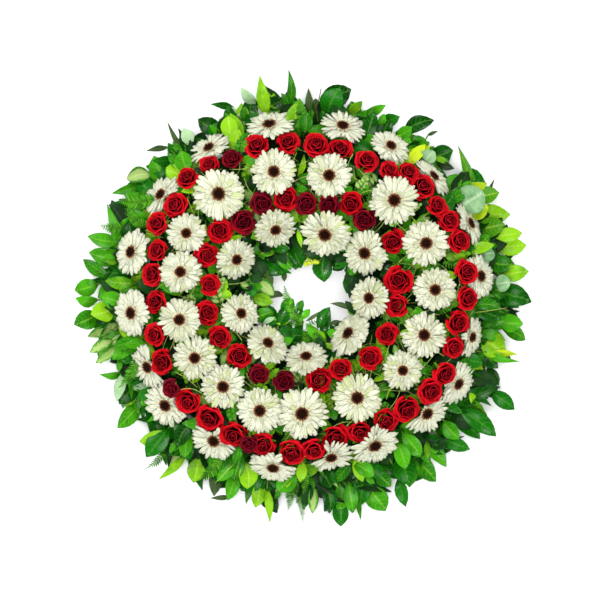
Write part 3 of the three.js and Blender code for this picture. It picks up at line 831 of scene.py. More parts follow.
@dataclass
class Growth:
    """Closed skins gathered into one piece."""

    COORDINATES = "growth"
    AGE = "age"
    name: str
    points: list[np.ndarray] = field(default_factory=list)
    quads: list[np.ndarray] = field(default_factory=list)
    coordinates: list[np.ndarray] = field(default_factory=list)
    ages: list[np.ndarray] = field(default_factory=list)
    slots: list[np.ndarray] = field(default_factory=list)
    finishes: list[Any] = field(default_factory=list)
    total: int = 0

    def add(self, rings: np.ndarray, finish: Any, tint: Any = 0.5, age: Any = 0.5) -> None:
        """Adds closed skins, each a row of rings that are joined by quads and capped at both ends.

        A ring of an even number of points is capped by a strip of quads that joins each point to
        the one opposite it. A point's coordinates are the cosine of its turn round the ring, its
        row from 0 to 1, and the skin's tint.

        Args:
            rings: points (skins, rows, ring, 3); each ring is anticlockwise about the way the
                rows run, so that the faces point outwards.
            finish: what the skins are made of.
            tint: one value, or one for each skin, from 0 to 1.
            age: likewise.
        """
        skins, rows, ring, _ = rings.shape
        k = np.arange(ring)
        row = np.arange(rows - 1)[:, None] * ring
        ahead = (k + 1) % ring
        walls = np.stack([row + k, row + ahead, row + ring + ahead, row + ring + k], -1)
        j = np.arange(ring // 2 - 1)
        low = np.stack([j, ring - 1 - j, ring - 2 - j, j + 1], -1)
        high = (rows - 1) * ring + low[:, ::-1]
        one = np.concatenate([walls.reshape(-1, 4), low, high])
        first = self.total + np.arange(skins)[:, None, None] * rows * ring
        self.quads.append((one + first).reshape(-1, 4))
        self.points.append(rings.reshape(-1, 3))
        across = np.cos(2 * np.pi * k / ring)[None, None, :]
        along = np.linspace(0, 1, rows)[None, :, None]
        tints = column(tint, skins)
        spread = np.broadcast_arrays(across, along, tints)
        self.coordinates.append(np.stack(spread, -1).reshape(-1, 3))
        self.ages.append(np.broadcast_to(column(age, skins), (skins, rows, ring)).ravel())
        if finish not in self.finishes:
            self.finishes.append(finish)
        self.slots.append(np.full(skins * len(one), self.finishes.index(finish)))
        self.total += skins * rows * ring

    def piece(self, nodes: Iterable[str]) -> None:
        """Makes the piece, riding on the wreath's one body, that stands for some nodes.

        Args:
            nodes: names of the nodes that it replaces.
        """
        points = np.concatenate(self.points) * MM
        quads = np.concatenate(self.quads)
        mesh = bpy.data.meshes.new(self.name)
        mesh.vertices.add(len(points))
        mesh.vertices.foreach_set("co", points.astype(np.float32).ravel())
        mesh.loops.add(quads.size)
        mesh.loops.foreach_set("vertex_index", quads.astype(np.int32).ravel())
        mesh.polygons.add(len(quads))
        mesh.polygons.foreach_set("loop_start", np.arange(0, quads.size, 4, dtype=np.int32))
        mesh.polygons.foreach_set("material_index", np.concatenate(self.slots).astype(np.int32))
        mesh.polygons.foreach_set("use_smooth", np.ones(len(quads), bool))
        for finish in self.finishes:
            mesh.materials.append(material_of(finish))
        mesh.update(calc_edges=True)
        values = np.concatenate(self.coordinates).astype(np.float32)
        coordinates = mesh.attributes.new(self.COORDINATES, "FLOAT_VECTOR", "POINT")
        coordinates.data.foreach_set("vector", values.ravel())
        ages = np.concatenate(self.ages).astype(np.float32)
        mesh.attributes.new(self.AGE, "FLOAT", "POINT").data.foreach_set("value", ages)
        thing = bpy.data.objects.new(self.name, mesh)
        bpy.context.scene.collection.objects.link(thing)
        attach(thing, "root")
        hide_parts(*nodes)
        log.info("%s: %d quads", self.name, len(quads))


@dataclass(frozen=True)
class Blade:
    """The form of a thin leaf or petal.

    `outline` gives its half width at even steps from foot to tip as shares of the whole half
    width, `ring` the points round it, `edge` how far the points crowd towards its edges, and
    `blunt` how far the edges of its tip stay behind the middle, as a share of the length.
    """

    outline: tuple[float, ...]
    thickness: float = 0.8
    ring: int = 8
    edge: float = 0.6
    blunt: float = 0.0

    def grow(
        self, foot: np.ndarray, tip: np.ndarray, width: Any, up: Any = UP, arch: Any = 0.0,
        fold: Any = 0.0, roll: Any = 0.0, twist: Any = 0.0, sway: Any = 0.0, ripple: Any = 0.0,
    ) -> np.ndarray:
        """Works out the rings of some blades.

        A blade's middle line runs from foot to tip and bows by half a sine wave, upwards by
        `arch` and sideways by `sway`. Its ring at each step is a thin flat oval across that
        line, whose edges rise by `fold` and wave by `ripple`, turned about the line by `roll`
        and by `twist` more from foot to tip.

        Args:
            foot: points (blades, 3).
            tip: points (blades, 3).
            width: the widest part.
            up: the way the blades face.
            arch: bow upwards, as a share of the length.
            fold: rise of the edges, as a share of the half width.
            roll: radians about the middle line.
            twist: radians more from foot to tip.
            sway: bow sideways, as a share of the length.
            ripple: height of the edge's waves, as a share of the half width.

        Returns:
            Points (blades, rows, ring, 3).
        """
        count, rows = len(foot), len(self.outline)
        t = np.linspace(0, 1, rows)[None, :, None]
        turn = 2 * np.pi * np.arange(self.ring)[None, None, :] / self.ring
        across = np.sign(np.cos(turn)) * np.abs(np.cos(turn)) ** self.edge
        chord = tip - foot
        length = np.linalg.norm(chord, axis=-1)[:, None, None]
        ahead = unit(chord)
        side = unit(np.cross(np.broadcast_to(up, ahead.shape), ahead))
        face = np.cross(ahead, side)
        bow = np.sin(np.pi * t) * length
        middle = (
            foot[:, None, :] + chord[:, None, :] * t
            + face[:, None, :] * bow * column(arch, count)
            + side[:, None, :] * bow * column(sway, count)
        )
        angle = column(roll, count) + column(twist, count) * (t - 0.5)
        level = side[:, None, :] * np.cos(angle) + face[:, None, :] * np.sin(angle)
        rise = face[:, None, :] * np.cos(angle) - side[:, None, :] * np.sin(angle)
        half = column(width, count) / 2 * np.asarray(self.outline)[None, :, None]
        skin = self.thickness / 2 * np.sin(turn) * (0.4 + 0.6 * np.sin(np.pi * t))
        waves = column(ripple, count) * np.sin(5 * np.pi * t + 3 * np.sign(across)) * across**2
        lift = skin + half * (column(fold, count) * np.abs(across) ** 1.4 + waves)
        behind = self.blunt * length * across**2 * t**6
        return (
            middle[:, :, None, :] + level[:, :, None, :] * (half * across)[..., None]
            + rise[:, :, None, :] * lift[..., None] - ahead[:, None, None, :] * behind[..., None]
        )


def tubes(path: np.ndarray, radius: Any, ring: int = 6) -> np.ndarray:
    """Carries a circle along some paths.

    Each ring lies square to the path's own direction there, on axes worked out from one
    direction that no path of the wreath follows closely.

    Args:
        path: points (tubes, rows, 3).
        radius: one value, or values that spread over (tubes, rows).
        ring: points round the tube.

    Returns:
        Points (tubes, rows, ring, 3).
    """
    ahead = unit(np.gradient(path, axis=1))
    aside = unit(np.cross(ahead, np.array([0.31, 0.17, 0.02]) + 0 * ahead))
    above = np.cross(ahead, aside)
    turn = 2 * np.pi * np.arange(ring) / ring
    size = np.broadcast_to(np.asarray(radius, float), path.shape[:2])[..., None, None]
    return path[:, :, None, :] + size * (
        aside[:, :, None, :] * np.cos(turn)[:, None] + above[:, :, None, :] * np.sin(turn)[:, None]
    )


def turned(profile: Sequence[tuple[float, float]], ring: int) -> np.ndarray:
    """Turns a profile about z: at each of its points, a level circle of that radius.

    Args:
        profile: pairs of (radius, height), bottom to top.
        ring: points round the axis.

    Returns:
        Points (1, rows, ring, 3).
    """
    radius, height = np.asarray(profile, float).T
    turn = 2 * np.pi * np.arange(ring) / ring
    radius, height = radius[:, None], height[:, None]
    return np.stack([radius * np.cos(turn), radius * np.sin(turn), height + 0 * turn], -1)[None]


# --------------------------------------------------------------------------------- blooms


@dataclass(frozen=True)
class PetalRing:
    """One round of gerbera petals, as shares of the head's width."""

    count: int
    start: float
    reach: float
    width: float
    low: float
    high: float
    fold: float


@dataclass(frozen=True)
class FloretRing:
    """One round of small upright florets: radii as shares of the head's width, heights in mm."""

    finish: TipFinish
    count: int
    start: float
    reach: float
    low: float
    high: float
    width: float


@dataclass(frozen=True)
class PetalScatter:
    """How much the petals of one round differ: lowest and highest, or a usual difference."""

    turn: float = 0.3
    reach: tuple[float, float] = (0.87, 1.02)
    width: tuple[float, float] = (0.86, 1.14)
    height: float = 0.5
    loose_height: float = 4.0
    slimmer: float = 0.8
    swing: float = 4.0
    arch: tuple[float, float] = (0.0, 0.05)
    fold: tuple[float, float] = (-1.0, 1.6)
    roll: float = 0.05
    twist: float = 0.08
    sway: float = 0.02


@dataclass
class Gerbera:
    """A gerbera: its petals in rounds, cream florets, fringe, dark eye, calyx and stem.

    The eye's profile is (share of the eye's radius, height), and the calyx's is (radius,
    height) with its rim added at `calyx_rim`, a share of the head's width.
    """

    stance: Stance
    width: float
    stem: float
    seed: int
    bulk: "Bulk"
    loose: float
    shaded: float
    rounds: tuple[PetalRing, ...] = (
        PetalRing(31, 0.10, 0.524, 0.107, -2.0, -3.0, 0.02),
        PetalRing(28, 0.10, 0.502, 0.103, -1.0, -1.8, 0.04),
        PetalRing(20, 0.11, 0.436, 0.096, 0.0, -0.6, 0.05),
        PetalRing(13, 0.11, 0.300, 0.084, 0.8, 0.8, 0.08),
    )
    floret_rounds: tuple[FloretRing, ...] = (
        FloretRing(CREAM, 28, 0.085, 0.185, 1.6, 3.6, 2.2),
        FloretRing(FRINGE, 30, 0.082, 0.147, 2.6, 5.4, 1.8),
        FloretRing(FRINGE, 22, 0.070, 0.120, 3.2, 5.8, 1.7),
    )
    petal: Blade = Blade((0.50, 0.74, 0.92, 1.0, 0.94, 0.56), 0.5, 8, 0.25, 0.05)
    floret: Blade = Blade((0.5, 1.0, 0.8, 0.3), 0.7, 4, 1.0)
    variety: PetalScatter = PetalScatter()
    eye: float = 0.085
    eye_profile: tuple[tuple[float, float], ...] = (
        (0.5, -1), (1.05, 1.5), (1.0, 4.2), (0.8, 5.4), (0.45, 5.2), (0.15, 4.6),
    )
    calyx: tuple[tuple[float, float], ...] = ((2.6, -15), (5.0, -12), (8.4, -8), (9.4, -4.5))
    calyx_rim: tuple[float, float] = (0.12, -1.6)
    stem_radius: float = 2.6
    stem_top: float = -14.0
    depth: float = 7.0
    lift: float = 1.5
    lifts: int = 6
    cut: float = 0.09
    cuts: int = 12

    def petals(self, growth: Growth, ring: PetalRing, random: np.random.Generator) -> None:
        """Adds one round of petals: blades spread evenly about the axis, each a little off.

        Args:
            growth: the piece that they join.
            ring: the round's sizes.
            random: the source of the small differences.
        """
        off = self.variety
        places = np.arange(ring.count) + random.uniform(-off.turn, off.turn, ring.count)
        turn = (places + random.uniform(0, 1)) * 360 / ring.count
        turn = turn[random.uniform(0, 1, ring.count) > self.loose]
        count = len(turn)
        reach = self.width * ring.reach * random.uniform(*off.reach, count)
        height = ring.high + random.normal(0, off.height + off.loose_height * self.loose, count)
        foot = polar(turn, self.width * ring.start, ring.low)
        tip = polar(turn + random.uniform(-off.swing, off.swing, count), reach, height)
        free = self.clear(foot, tip)
        foot, tip, count = foot[free], tip[free], int(free.sum())
        slim = 1 - off.slimmer * self.loose
        rings = self.petal.grow(
            foot, tip, self.width * ring.width * slim * random.uniform(*off.width, count),
            arch=random.uniform(*off.arch, count),
            fold=ring.fold * random.uniform(*off.fold, count),
            roll=random.normal(0, off.roll, count), twist=random.normal(0, off.twist, count),
            sway=random.normal(0, off.sway, count),
        )
        # The tints reach towards the petals' painted shade only as far as `shaded`.
        growth.add(self.stance.place(rings), IVORY, random.uniform(0, self.shaded, count))

    def clear(self, foot: np.ndarray, tip: np.ndarray) -> np.ndarray:
        """Moves the tips of the petals that enter a rose: up over it, or else back from it.

        Args:
            foot: feet of the petals, on the flower's own axes.
            tip: their tips, which are changed in place.

        Returns:
            For each petal, whether it is clear of the roses in the end.
        """
        along = np.linspace(0.25, 1.0, 7)[None, :, None]

        def held(ends: np.ndarray) -> np.ndarray:
            """Tells which petals with these tips enter a rose."""
            points = foot[:, None] + (ends - foot)[:, None] * along
            return self.bulk.holds(self.stance.place(points))

        raised = tip.copy()
        for _ in range(self.lifts):
            raised[held(raised), 2] += self.lift
        over = ~held(raised)
        tip[over] = raised[over]
        for _ in range(self.cuts):
            short = held(tip)
            tip[short] += self.cut * (foot - tip)[short]
        return ~held(tip)

    def florets(self, growth: Growth, ring: FloretRing, random: np.random.Generator) -> None:
        """Adds one round of small upright florets.

        Args:
            growth: the piece that they join.
            ring: the round's finish and sizes.
            random: the source of the small differences.
        """
        count = ring.count
        turn = (np.arange(count) + random.uniform(-0.3, 0.3, count)) * 360 / count
        foot = polar(turn, self.width * ring.start, ring.low)
        reach = self.width * ring.reach * random.uniform(0.88, 1.06, count)
        tip = polar(turn, reach, ring.high + random.normal(0, 0.5, count))
        rings = self.floret.grow(foot, tip, ring.width, arch=0.12, fold=0.2)
        growth.add(self.stance.place(rings), ring.finish, random.uniform(0, 1, count))

    def grow(self, growth: Growth) -> None:
        """Adds the whole flower to a piece.

        Args:
            growth: the piece that it joins.
        """
        random = np.random.default_rng(self.seed)
        for ring in self.rounds:
            self.petals(growth, ring, random)
        for ring in self.floret_rounds:
            self.florets(growth, ring, random)
        eye = self.width * self.eye * random.uniform(0.9, 1.1)
        dome = [(share * eye, height) for share, height in self.eye_profile]
        growth.add(self.stance.place(turned(dome, 16)), EYE)
        share, height = self.calyx_rim
        cup = (*self.calyx, (share * self.width, height))
        growth.add(self.stance.place(turned(cup, 12)), STALK)
        heights = (-self.stem, -self.stem / 2 - 7, self.stem_top)
        path = np.array([[[0, 0, height] for height in heights]], float)
        growth.add(self.stance.place(tubes(path, self.stem_radius, 8)), STALK)


@dataclass
class Rose:
    """A rose: petals in one spiral, closed in the middle and curled at the rim.

    Sizes are shares of the bloom's width, apart from `depth`, `thickness` and the radii of the
    hip and the stem. The pairs `foot`, `belly`, `rim` and `spread` are the size at the bloom's
    heart and what its age adds to that, up to the outermost petal. Other pairs are the lowest
    and the highest value, and the core and the hip are profiles of (radius, height).
    """

    stance: Stance
    width: float
    stem: float
    seed: int
    dark: float
    petals: int = 17
    more_or_fewer: int = 2
    rows: int = 7
    ring: int = 10
    thickness: float = 0.9
    depth: float = 18.0
    foot: tuple[float, float] = (0.05, 0.05)
    belly: tuple[float, float] = (0.10, 0.47)
    rim: tuple[float, float] = (0.02, 0.44)
    spread: tuple[float, float] = (108, -50)
    bottom: float = 0.62
    tuck: float = 0.024
    bulge: float = 0.02
    curl: float = 0.10
    droop: float = 0.06
    wave: float = 0.02
    size: tuple[float, float] = (0.92, 1.04)
    core: tuple[tuple[float, float], ...] = (
        (0.05, -0.6), (0.10, -0.4), (0.07, -0.18), (0.02, -0.12),
    )
    sepal: Blade = Blade((0.7, 1.0, 0.7, 0.15), 0.9, 6, 0.8)
    sepals: int = 5
    sepal_foot: tuple[float, float] = (0.1, -0.66)
    sepal_reach: tuple[float, float] = (0.44, 0.6)
    sepal_drop: tuple[float, float] = (0.45, 0.6)
    sepal_width: float = 0.15
    sepal_turn: float = 12.0
    hip: tuple[tuple[float, float], ...] = ((2.4, -0.92), (5.5, -0.84), (7.0, -0.74), (6.0, -0.60))
    stem_radius: float = 2.4

    def grow(self, growth: Growth) -> None:
        """Adds the whole flower to a piece.

        Petal number i of n has its middle at i golden angles, to one hand or the other, and an
        age s = i / n from the heart outwards. On it, u runs across from -1 to 1 and v from foot
        to rim. Its radius is a quadratic curve in v from the foot over the belly to the rim,
        one edge is tucked in and the other stands out, and the rim of an old petal curls
        outwards and down.

        Args:
            growth: the piece that it joins.
        """
        random = np.random.default_rng(self.seed)
        more = int(random.integers(-self.more_or_fewer, self.more_or_fewer + 1))
        count, w = self.petals + more, self.width
        hand, spin = random.choice([-1.0, 1.0]), random.uniform(0, 360)
        age = ((np.arange(count) + 0.5) / count)[:, None, None]
        off = random.uniform(-1, 1, (6, count))[:, :, None, None]
        v = np.linspace(0, 1, self.rows)[None, :, None]
        turn = 2 * np.pi * np.arange(self.ring)[None, None, :] / self.ring
        u = np.sign(np.cos(turn)) * np.abs(np.cos(turn)) ** 0.75
        bearing = np.radians(spin + hand * np.arange(count) * GOLDEN_ANGLE)[:, None, None]
        middle = bearing + 0.18 * off[0]
        spread = np.radians(self.spread[0] + self.spread[1] * age + 6 * off[1])
        foot = w * (self.foot[0] + self.foot[1] * age)
        belly = w * (self.belly[0] + self.belly[1] * age**0.9)
        rim = w * (self.rim[0] + self.rim[1] * age**0.85) * (1 + 0.05 * off[2])
        radius = foot * (1 - v) ** 2 + 2 * belly * v * (1 - v) + rim * v**2
        radius = radius + w * (self.tuck * hand * u + self.bulge * u**2) * v
        curl = np.clip((age - 0.3) / 0.5, 0, 1) * np.clip((v - 0.70) / 0.30, 0, 1) ** 1.3
        radius = radius + w * self.curl * curl * (1 - 0.3 * u**2) * (1 + 0.5 * off[4])
        radius = radius * random.uniform(*self.size)
        top = -w * (0.055 + 0.17 * age**1.8 + 0.015 * off[3])
        height = -self.bottom * w + (top + self.bottom * w) * (1 - (1 - v) ** 1.6)
        height = height - w * ((0.05 + 0.10 * age) * np.abs(u) ** 2.6 * v + self.droop * curl)
        height = height + w * self.wave * age * np.sin(4 * u + 3 * off[5]) * v**3
        radius = radius - self.thickness / 2 * np.sin(turn) * (1.1 - 0.4 * v)
        width_here = 0.75 + 0.25 * np.sin(np.pi * np.clip(v * 0.8 + 0.1, 0, 1))
        angle = middle + u * spread * width_here
        rings = np.stack([radius * np.cos(angle), radius * np.sin(angle), height + 0 * angle], -1)
        tint = np.clip(self.dark + random.uniform(-0.12, 0.12, count), 0, 1)
        growth.add(self.stance.place(rings), VELVET, tint, age.ravel())
        # The core closes the middle in the heart's painted near-black shade (age 0).
        core = turned(w * np.array(self.core), 8)
        growth.add(self.stance.place(core), VELVET, self.dark, 0.0)
        self.base(growth, random)

    def base(self, growth: Growth, random: np.random.Generator) -> None:
        """Adds the sepals, the green hip and the stem.

        Args:
            growth: the piece that they join.
            random: the source of the small differences.
        """
        w, count = self.width, self.sepals
        turn = np.arange(count) * 360 / count + random.uniform(0, 360 / count)
        foot = polar(turn, self.sepal_foot[0] * w, self.sepal_foot[1] * w)
        turn = turn + random.uniform(-self.sepal_turn, self.sepal_turn, count)
        reach = w * random.uniform(*self.sepal_reach, count)
        tip = polar(turn, reach, -w * random.uniform(*self.sepal_drop, count))
        rings = self.sepal.grow(foot, tip, self.sepal_width * w, arch=-0.1, fold=0.3)
        tints = random.uniform(0, 1, count)
        growth.add(self.stance.place(rings), LEAF_FINISHES[Tone.LIME], tints)
        hip = [(radius, share * w) for radius, share in self.hip]
        growth.add(self.stance.place(turned(hip, 10)), STALK)
        heights = (-self.stem, -self.stem / 2 - 0.45 * w, -0.88 * w)
        path = np.array([[[0, 0, height] for height in heights]], float)
        growth.add(self.stance.place(tubes(path, self.stem_radius, 8)), STALK)


@dataclass
class Bulk:
    """The room that roses take up: each a flattened ball under the middle of its bloom."""

    roses: Sequence[Rose]
    radius: float = 0.60
    drop: float = 0.33
    half_height: float = 0.35

    def holds(self, points: np.ndarray) -> np.ndarray:
        """Tells which petals enter a rose.

        Args:
            points: points on the petals (petals, samples, 3).

        Returns:
            One truth value for each petal.
        """
        turns = np.array([rose.stance.turn for rose in self.roses])
        middles = np.array([rose.stance.middle for rose in self.roses])[:, None, None]
        widths = np.array([rose.width for rose in self.roses])[:, None, None]
        local = np.einsum("rij,rpsi->rpsj", turns, points[None] - middles)
        wide = np.hypot(local[..., 0], local[..., 1]) / (self.radius * widths)
        tall = (local[..., 2] / widths + self.drop) / self.half_height
        return (wide**2 + tall**2 < 1).any((0, 2))


@dataclass
class Guard:
    """The blooms that no scattered leaf may cover."""

    turns: np.ndarray
    middles: np.ndarray
    radii: np.ndarray
    depths: np.ndarray
    headroom: float = 70.0

    @classmethod
    def over(cls, blooms: Sequence[Gerbera | Rose]) -> "Guard":
        """Gathers the places and sizes of some blooms.

        Args:
            blooms: gerberas and roses.

        Returns:
            The guard over them.
        """
        return cls(
            np.array([bloom.stance.turn for bloom in blooms]),
            np.array([bloom.stance.middle for bloom in blooms]),
            np.array([bloom.width / 2 for bloom in blooms]),
            np.array([bloom.depth for bloom in blooms]),
        )

    def covered(self, points: np.ndarray) -> bool:
        """Tells whether any point lies on a bloom.

        A point is on a bloom where, on the bloom's own axes, it is nearer the axis than the
        bloom's radius and higher than the bloom's underside.

        Args:
            points: points (any, 3).

        Returns:
            Whether one of them does.
        """
        local = np.einsum("nij,nki->nkj", self.turns, points[None] - self.middles[:, None])
        near = np.hypot(local[..., 0], local[..., 1]) < self.radii[:, None]
        above = (local[..., 2] > -self.depths[:, None]) & (local[..., 2] < self.headroom)
        return bool((near & above).any())


# --------------------------------------------------------------------------------- leaves

OVAL = Blade((0.08, 0.50, 0.82, 0.98, 1.0, 0.88, 0.58, 0.05), 0.7, 10, 0.5)
LANCE = Blade((0.15, 0.62, 0.92, 1.0, 0.88, 0.64, 0.34, 0.05), 0.7, 8, 0.45)
COIN = Blade((0.16, 0.70, 0.93, 1.0, 0.98, 0.86, 0.62, 0.18), 0.8, 10, 0.5)
SMALL = Blade((0.10, 0.66, 0.96, 0.96, 0.66, 0.06), 0.7, 8, 0.45)
TINY = Blade((0.2, 0.92, 0.86, 0.08), 0.6, 6, 0.5)
LEAFLET = Blade((0.45, 1.0, 0.7, 0.08), 0.6, 4, 1.0)


@dataclass
class Sprig:
    """Leaves given one by one, each a stalk and a blade, or a fern frond where its tone is fern.

    A blade's form follows from its size and from how slim it is: its width over its length.
    Its bends are drawn between a lowest and a highest value, or about 0 with a usual size.
    """

    growth: Growth
    seed: int
    stalk: float = 1.3
    shortest: float = 20.0
    narrowest: float = 23.0
    slimmest_oval: float = 0.3
    slimmest_coin: float = 0.6
    breadth: float = 1.18
    arch: tuple[float, float] = (0.02, 0.12)
    fold: tuple[float, float] = (0.08, 0.45)
    roll: float = 0.22
    twist: float = 0.3
    sway: float = 0.04
    ripple: float = 0.06
    stalk_bow: float = 0.1
    stalk_end: float = 1.06
    leaflet_gap: float = 4.2
    fewest_pairs: int = 6
    rib_bow: float = 0.08
    rib_stalk: float = 1.2

    def leaf(
        self, root: np.ndarray | None, foot: np.ndarray, tip: np.ndarray, width: float, tone: Tone,
    ) -> None:
        """Adds one leaf.

        Args:
            root: where its stalk starts, or None for a blade alone.
            foot: where the blade starts.
            tip: where it ends.
            width: its widest part.
            tone: its sort.
        """
        self.seed += 1
        random = np.random.default_rng(self.seed)
        if tone is Tone.FERN:
            self.frond(root, foot, tip, width, random)
            return
        length = max(np.linalg.norm(tip - foot), 1.0)
        slim = width / length
        if length < self.shortest:
            blade = TINY
        elif slim <= self.slimmest_oval:
            blade = LANCE
        elif width < self.narrowest:
            blade = SMALL
        else:
            blade = COIN if tone is Tone.SILVER and slim > self.slimmest_coin else OVAL
        rings = blade.grow(
            foot[None], tip[None], width * self.breadth, arch=random.uniform(*self.arch),
            fold=random.uniform(*self.fold), roll=random.normal(0, self.roll),
            twist=random.normal(0, self.twist), sway=random.normal(0, self.sway),
            ripple=random.uniform(0, self.ripple),
        )
        self.growth.add(rings, LEAF_FINISHES[tone], random.uniform(0, 1))
        if root is not None:
            self.stem(root, foot, self.stalk)

    def spray(
        self, foot: np.ndarray, tip: np.ndarray, width: float, tone: Tone, pairs: int,
    ) -> None:
        """Adds a thin stem with small leaves in pairs and one at its end.

        Args:
            foot: where the stem starts.
            tip: tip of the leaf at its end.
            width: widest part of a leaf.
            tone: the leaves' sort.
            pairs: how many pairs.
        """
        along = tip - foot
        length = np.linalg.norm(along)
        side = unit(np.cross(UP, along))
        for k in range(pairs):
            start = foot + along * (0.15 + 0.6 * k / pairs)
            for hand in (-1, 1):
                lift = 0.3 * float(scatter(self.seed + hand))
                slant = unit(0.7 * unit(along) + hand * side + UP * lift)
                self.leaf(None, start, start + slant * length * (0.46 - 0.08 * k), width, tone)
        self.leaf(None, foot + along * 0.68, tip, width, tone)
        self.stem(foot, foot + along * 0.7, 0.7)

    def stem(self, root: np.ndarray, foot: np.ndarray, radius: float) -> None:
        """Adds a stalk that bows upwards, by half a sine wave, and runs a little into the blade.

        Args:
            root: where it starts.
            foot: where its blade starts.
            radius: its own.
        """
        t = np.linspace(0, self.stalk_end, 5)[:, None]
        rise = UP * self.stalk_bow * np.linalg.norm(foot - root)
        bow = rise * np.sin(np.pi * np.minimum(t, 1))
        path = root + (foot - root) * t + bow
        self.growth.add(tubes(path[None], radius, 6), STALK)

    def frond(
        self, root: np.ndarray | None, foot: np.ndarray, tip: np.ndarray, width: float,
        random: np.random.Generator,
    ) -> None:
        """Adds a fern frond: a bowed rib with leaflets in pairs that shorten towards its tip.

        Args:
            root: where its stalk starts, or None.
            foot: where the leaflets start.
            tip: the frond's tip.
            width: its widest part.
            random: the source of the small differences.
        """
        length = np.linalg.norm(tip - foot)
        pairs = max(self.fewest_pairs, int(length / self.leaflet_gap))
        count = 2 * pairs
        bow = self.rib_bow * length
        side = unit(np.cross(UP, tip - foot))

        def rib(t: np.ndarray) -> np.ndarray:
            """Gives points on the rib at shares t of its length."""
            bowed = (UP + side) * (bow * np.sin(np.pi * t))[:, None]
            return foot + (tip - foot) * t[:, None] + bowed

        at = np.repeat(np.linspace(0.02, 0.96, pairs), 2)
        hand = np.tile([1.0, -1.0], pairs)
        reach = width / 2 * np.sin(np.pi * (0.22 + 0.76 * at)) * random.uniform(0.85, 1.1, count)
        start = rib(at)
        forward = 0.5 * unit(tip - foot)
        rise = UP * random.uniform(-0.15, 0.25, (count, 1))
        end = start + reach[:, None] * (0.85 * side * hand[:, None] + forward + rise)
        breadth = np.maximum(0.42 * reach, 2.0)
        rings = LEAFLET.grow(start, end, breadth, roll=random.normal(0, 0.3, count))
        self.growth.add(rings, LEAF_FINISHES[Tone.FERN], random.uniform(0, 1, count))
        path = rib(np.linspace(0, 1, 7))[None]
        self.growth.add(tubes(path, np.linspace(1.0, 0.3, 7)[None], 6), STALK)
        if root is not None:
            self.stem(root, foot, self.rib_stalk)


@dataclass
class LeafRing:
    """One arc of a collar: its leaves, and the taped band that binds their stalks.

    Behind each leaf of the outer collar lie some partners: lower, shorter and a little aside.
    Their sizes are drawn between a lowest and a highest value.
    """

    collar: Collar
    row: Row
    index: int
    guard: Guard
    swing: float = 0.45
    low: float = 18.3
    band_height: float = 4.4
    band_inset: float = 0.6
    band_radius: float = 2.1
    edge: float = 390.0
    past_edge: float = 3.0
    partners: int = 2
    inset: tuple[float, float] = (4, 44)
    farthest: float = 408.0
    length: tuple[float, float] = (48, 66)
    foot_height: tuple[float, float] = (6, 16)
    tip_height: tuple[float, float] = (6, 24)
    width: tuple[float, float] = (16, 32)
    alike: float = 0.3
    # The partners are mostly dark; their SHADED leaves are painted shade behind the top leaves.
    backing: tuple[Tone, ...] = (Tone.DEEP, Tone.SHADED, Tone.MID, Tone.SHADED, Tone.DEEP)

    def build(self) -> None:
        """Makes the piece that stands for the arc's node."""
        growth = Growth(f"leaves_{self.row.value}_{self.index + 1}")
        collar = self.collar
        seed = LEAF_SEEDS.of(list(COLLARS).index(self.row), self.index)
        sprig = Sprig(growth, 10 * seed)
        roots = []
        for k, plan in enumerate(collar.arcs[self.index]):
            foot_bearing, foot_radius, tip_bearing, tip_radius, width, letter, *heights = plan
            bearing = foot_bearing + self.swing * (foot_bearing - tip_bearing)
            height = collar.foot_heights[k % 3] + 2 * scatter(seed + k)
            lift = collar.tip_rise + collar.tip_scatter * scatter(seed + k + 0.5)
            low, high = heights or (height, height + lift)
            root = polar(bearing, collar.root_radius, self.low + self.band_inset + 1)
            foot = polar(foot_bearing, foot_radius, low)
            reach = tip_radius + self.past_edge * (tip_radius > self.edge)
            sprig.leaf(root, foot, polar(tip_bearing, reach, high), width, Tone(letter))
            roots.append(bearing)
            if self.row is Row.OUTER:
                self.back(sprig, plan, seed + k)
        self.band(growth, min(roots) - 1, max(roots) + 1)
        growth.piece([f"foliage_{self.row.value}_{self.index + 1}"])

    def back(self, sprig: Sprig, plan: Sequence[Any], seed: int) -> None:
        """Adds the lower leaves behind one leaf of the collar, shorter and turned a little off.

        Args:
            sprig: what they join.
            plan: the leaf that they lie behind.
            seed: of their scatter.
        """
        random = np.random.default_rng(seed)
        bearing, _, _, radius, _, letter, *_ = plan
        for _ in range(self.partners):
            reach = min(radius - random.uniform(*self.inset), self.farthest)
            turn, start = bearing + random.normal(0, 3), reach - random.uniform(*self.length)
            foot = polar(turn, start, random.uniform(*self.foot_height))
            tip = polar(bearing + random.normal(0, 6), reach, random.uniform(*self.tip_height))
            alike = random.random() < self.alike
            tone = Tone(letter) if alike else self.backing[random.integers(len(self.backing))]
            line = np.stack([foot, (foot + tip) / 2, tip])
            if tone is Tone.FERN or not self.guard.covered(line):
                sprig.leaf(None, foot, tip, random.uniform(*self.width), tone)

    def band(self, growth: Growth, start: float, end: float) -> None:
        """Adds the band: a circle carried round the tray's wall.

        Args:
            growth: the piece that it joins.
            start: bearing of its first end.
            end: bearing of its other end.
        """
        bearing = np.linspace(start, end, 40)
        middle = (self.collar.band_inner + self.collar.band_outer) / 2
        turn = -2 * np.pi * np.arange(8) / 8
        radius = middle + self.band_radius * np.cos(turn)
        height = self.low + self.band_height / 2 + self.band_radius * np.sin(turn)
        growth.add(polar(bearing[:, None], radius, height)[None], TAPE)


# Mixes of tones for the fillers, as letters; a letter that comes twice is twice as common.
# X is the SHADED leaves' painted shade: SHADE is almost all painted shade, DEEP partly.
SHADE, DEEP, MIXED, LIGHT, FRESH = "XXXD", "DXMDXD", "MDML", "MLVLM", "MLMVLFL"


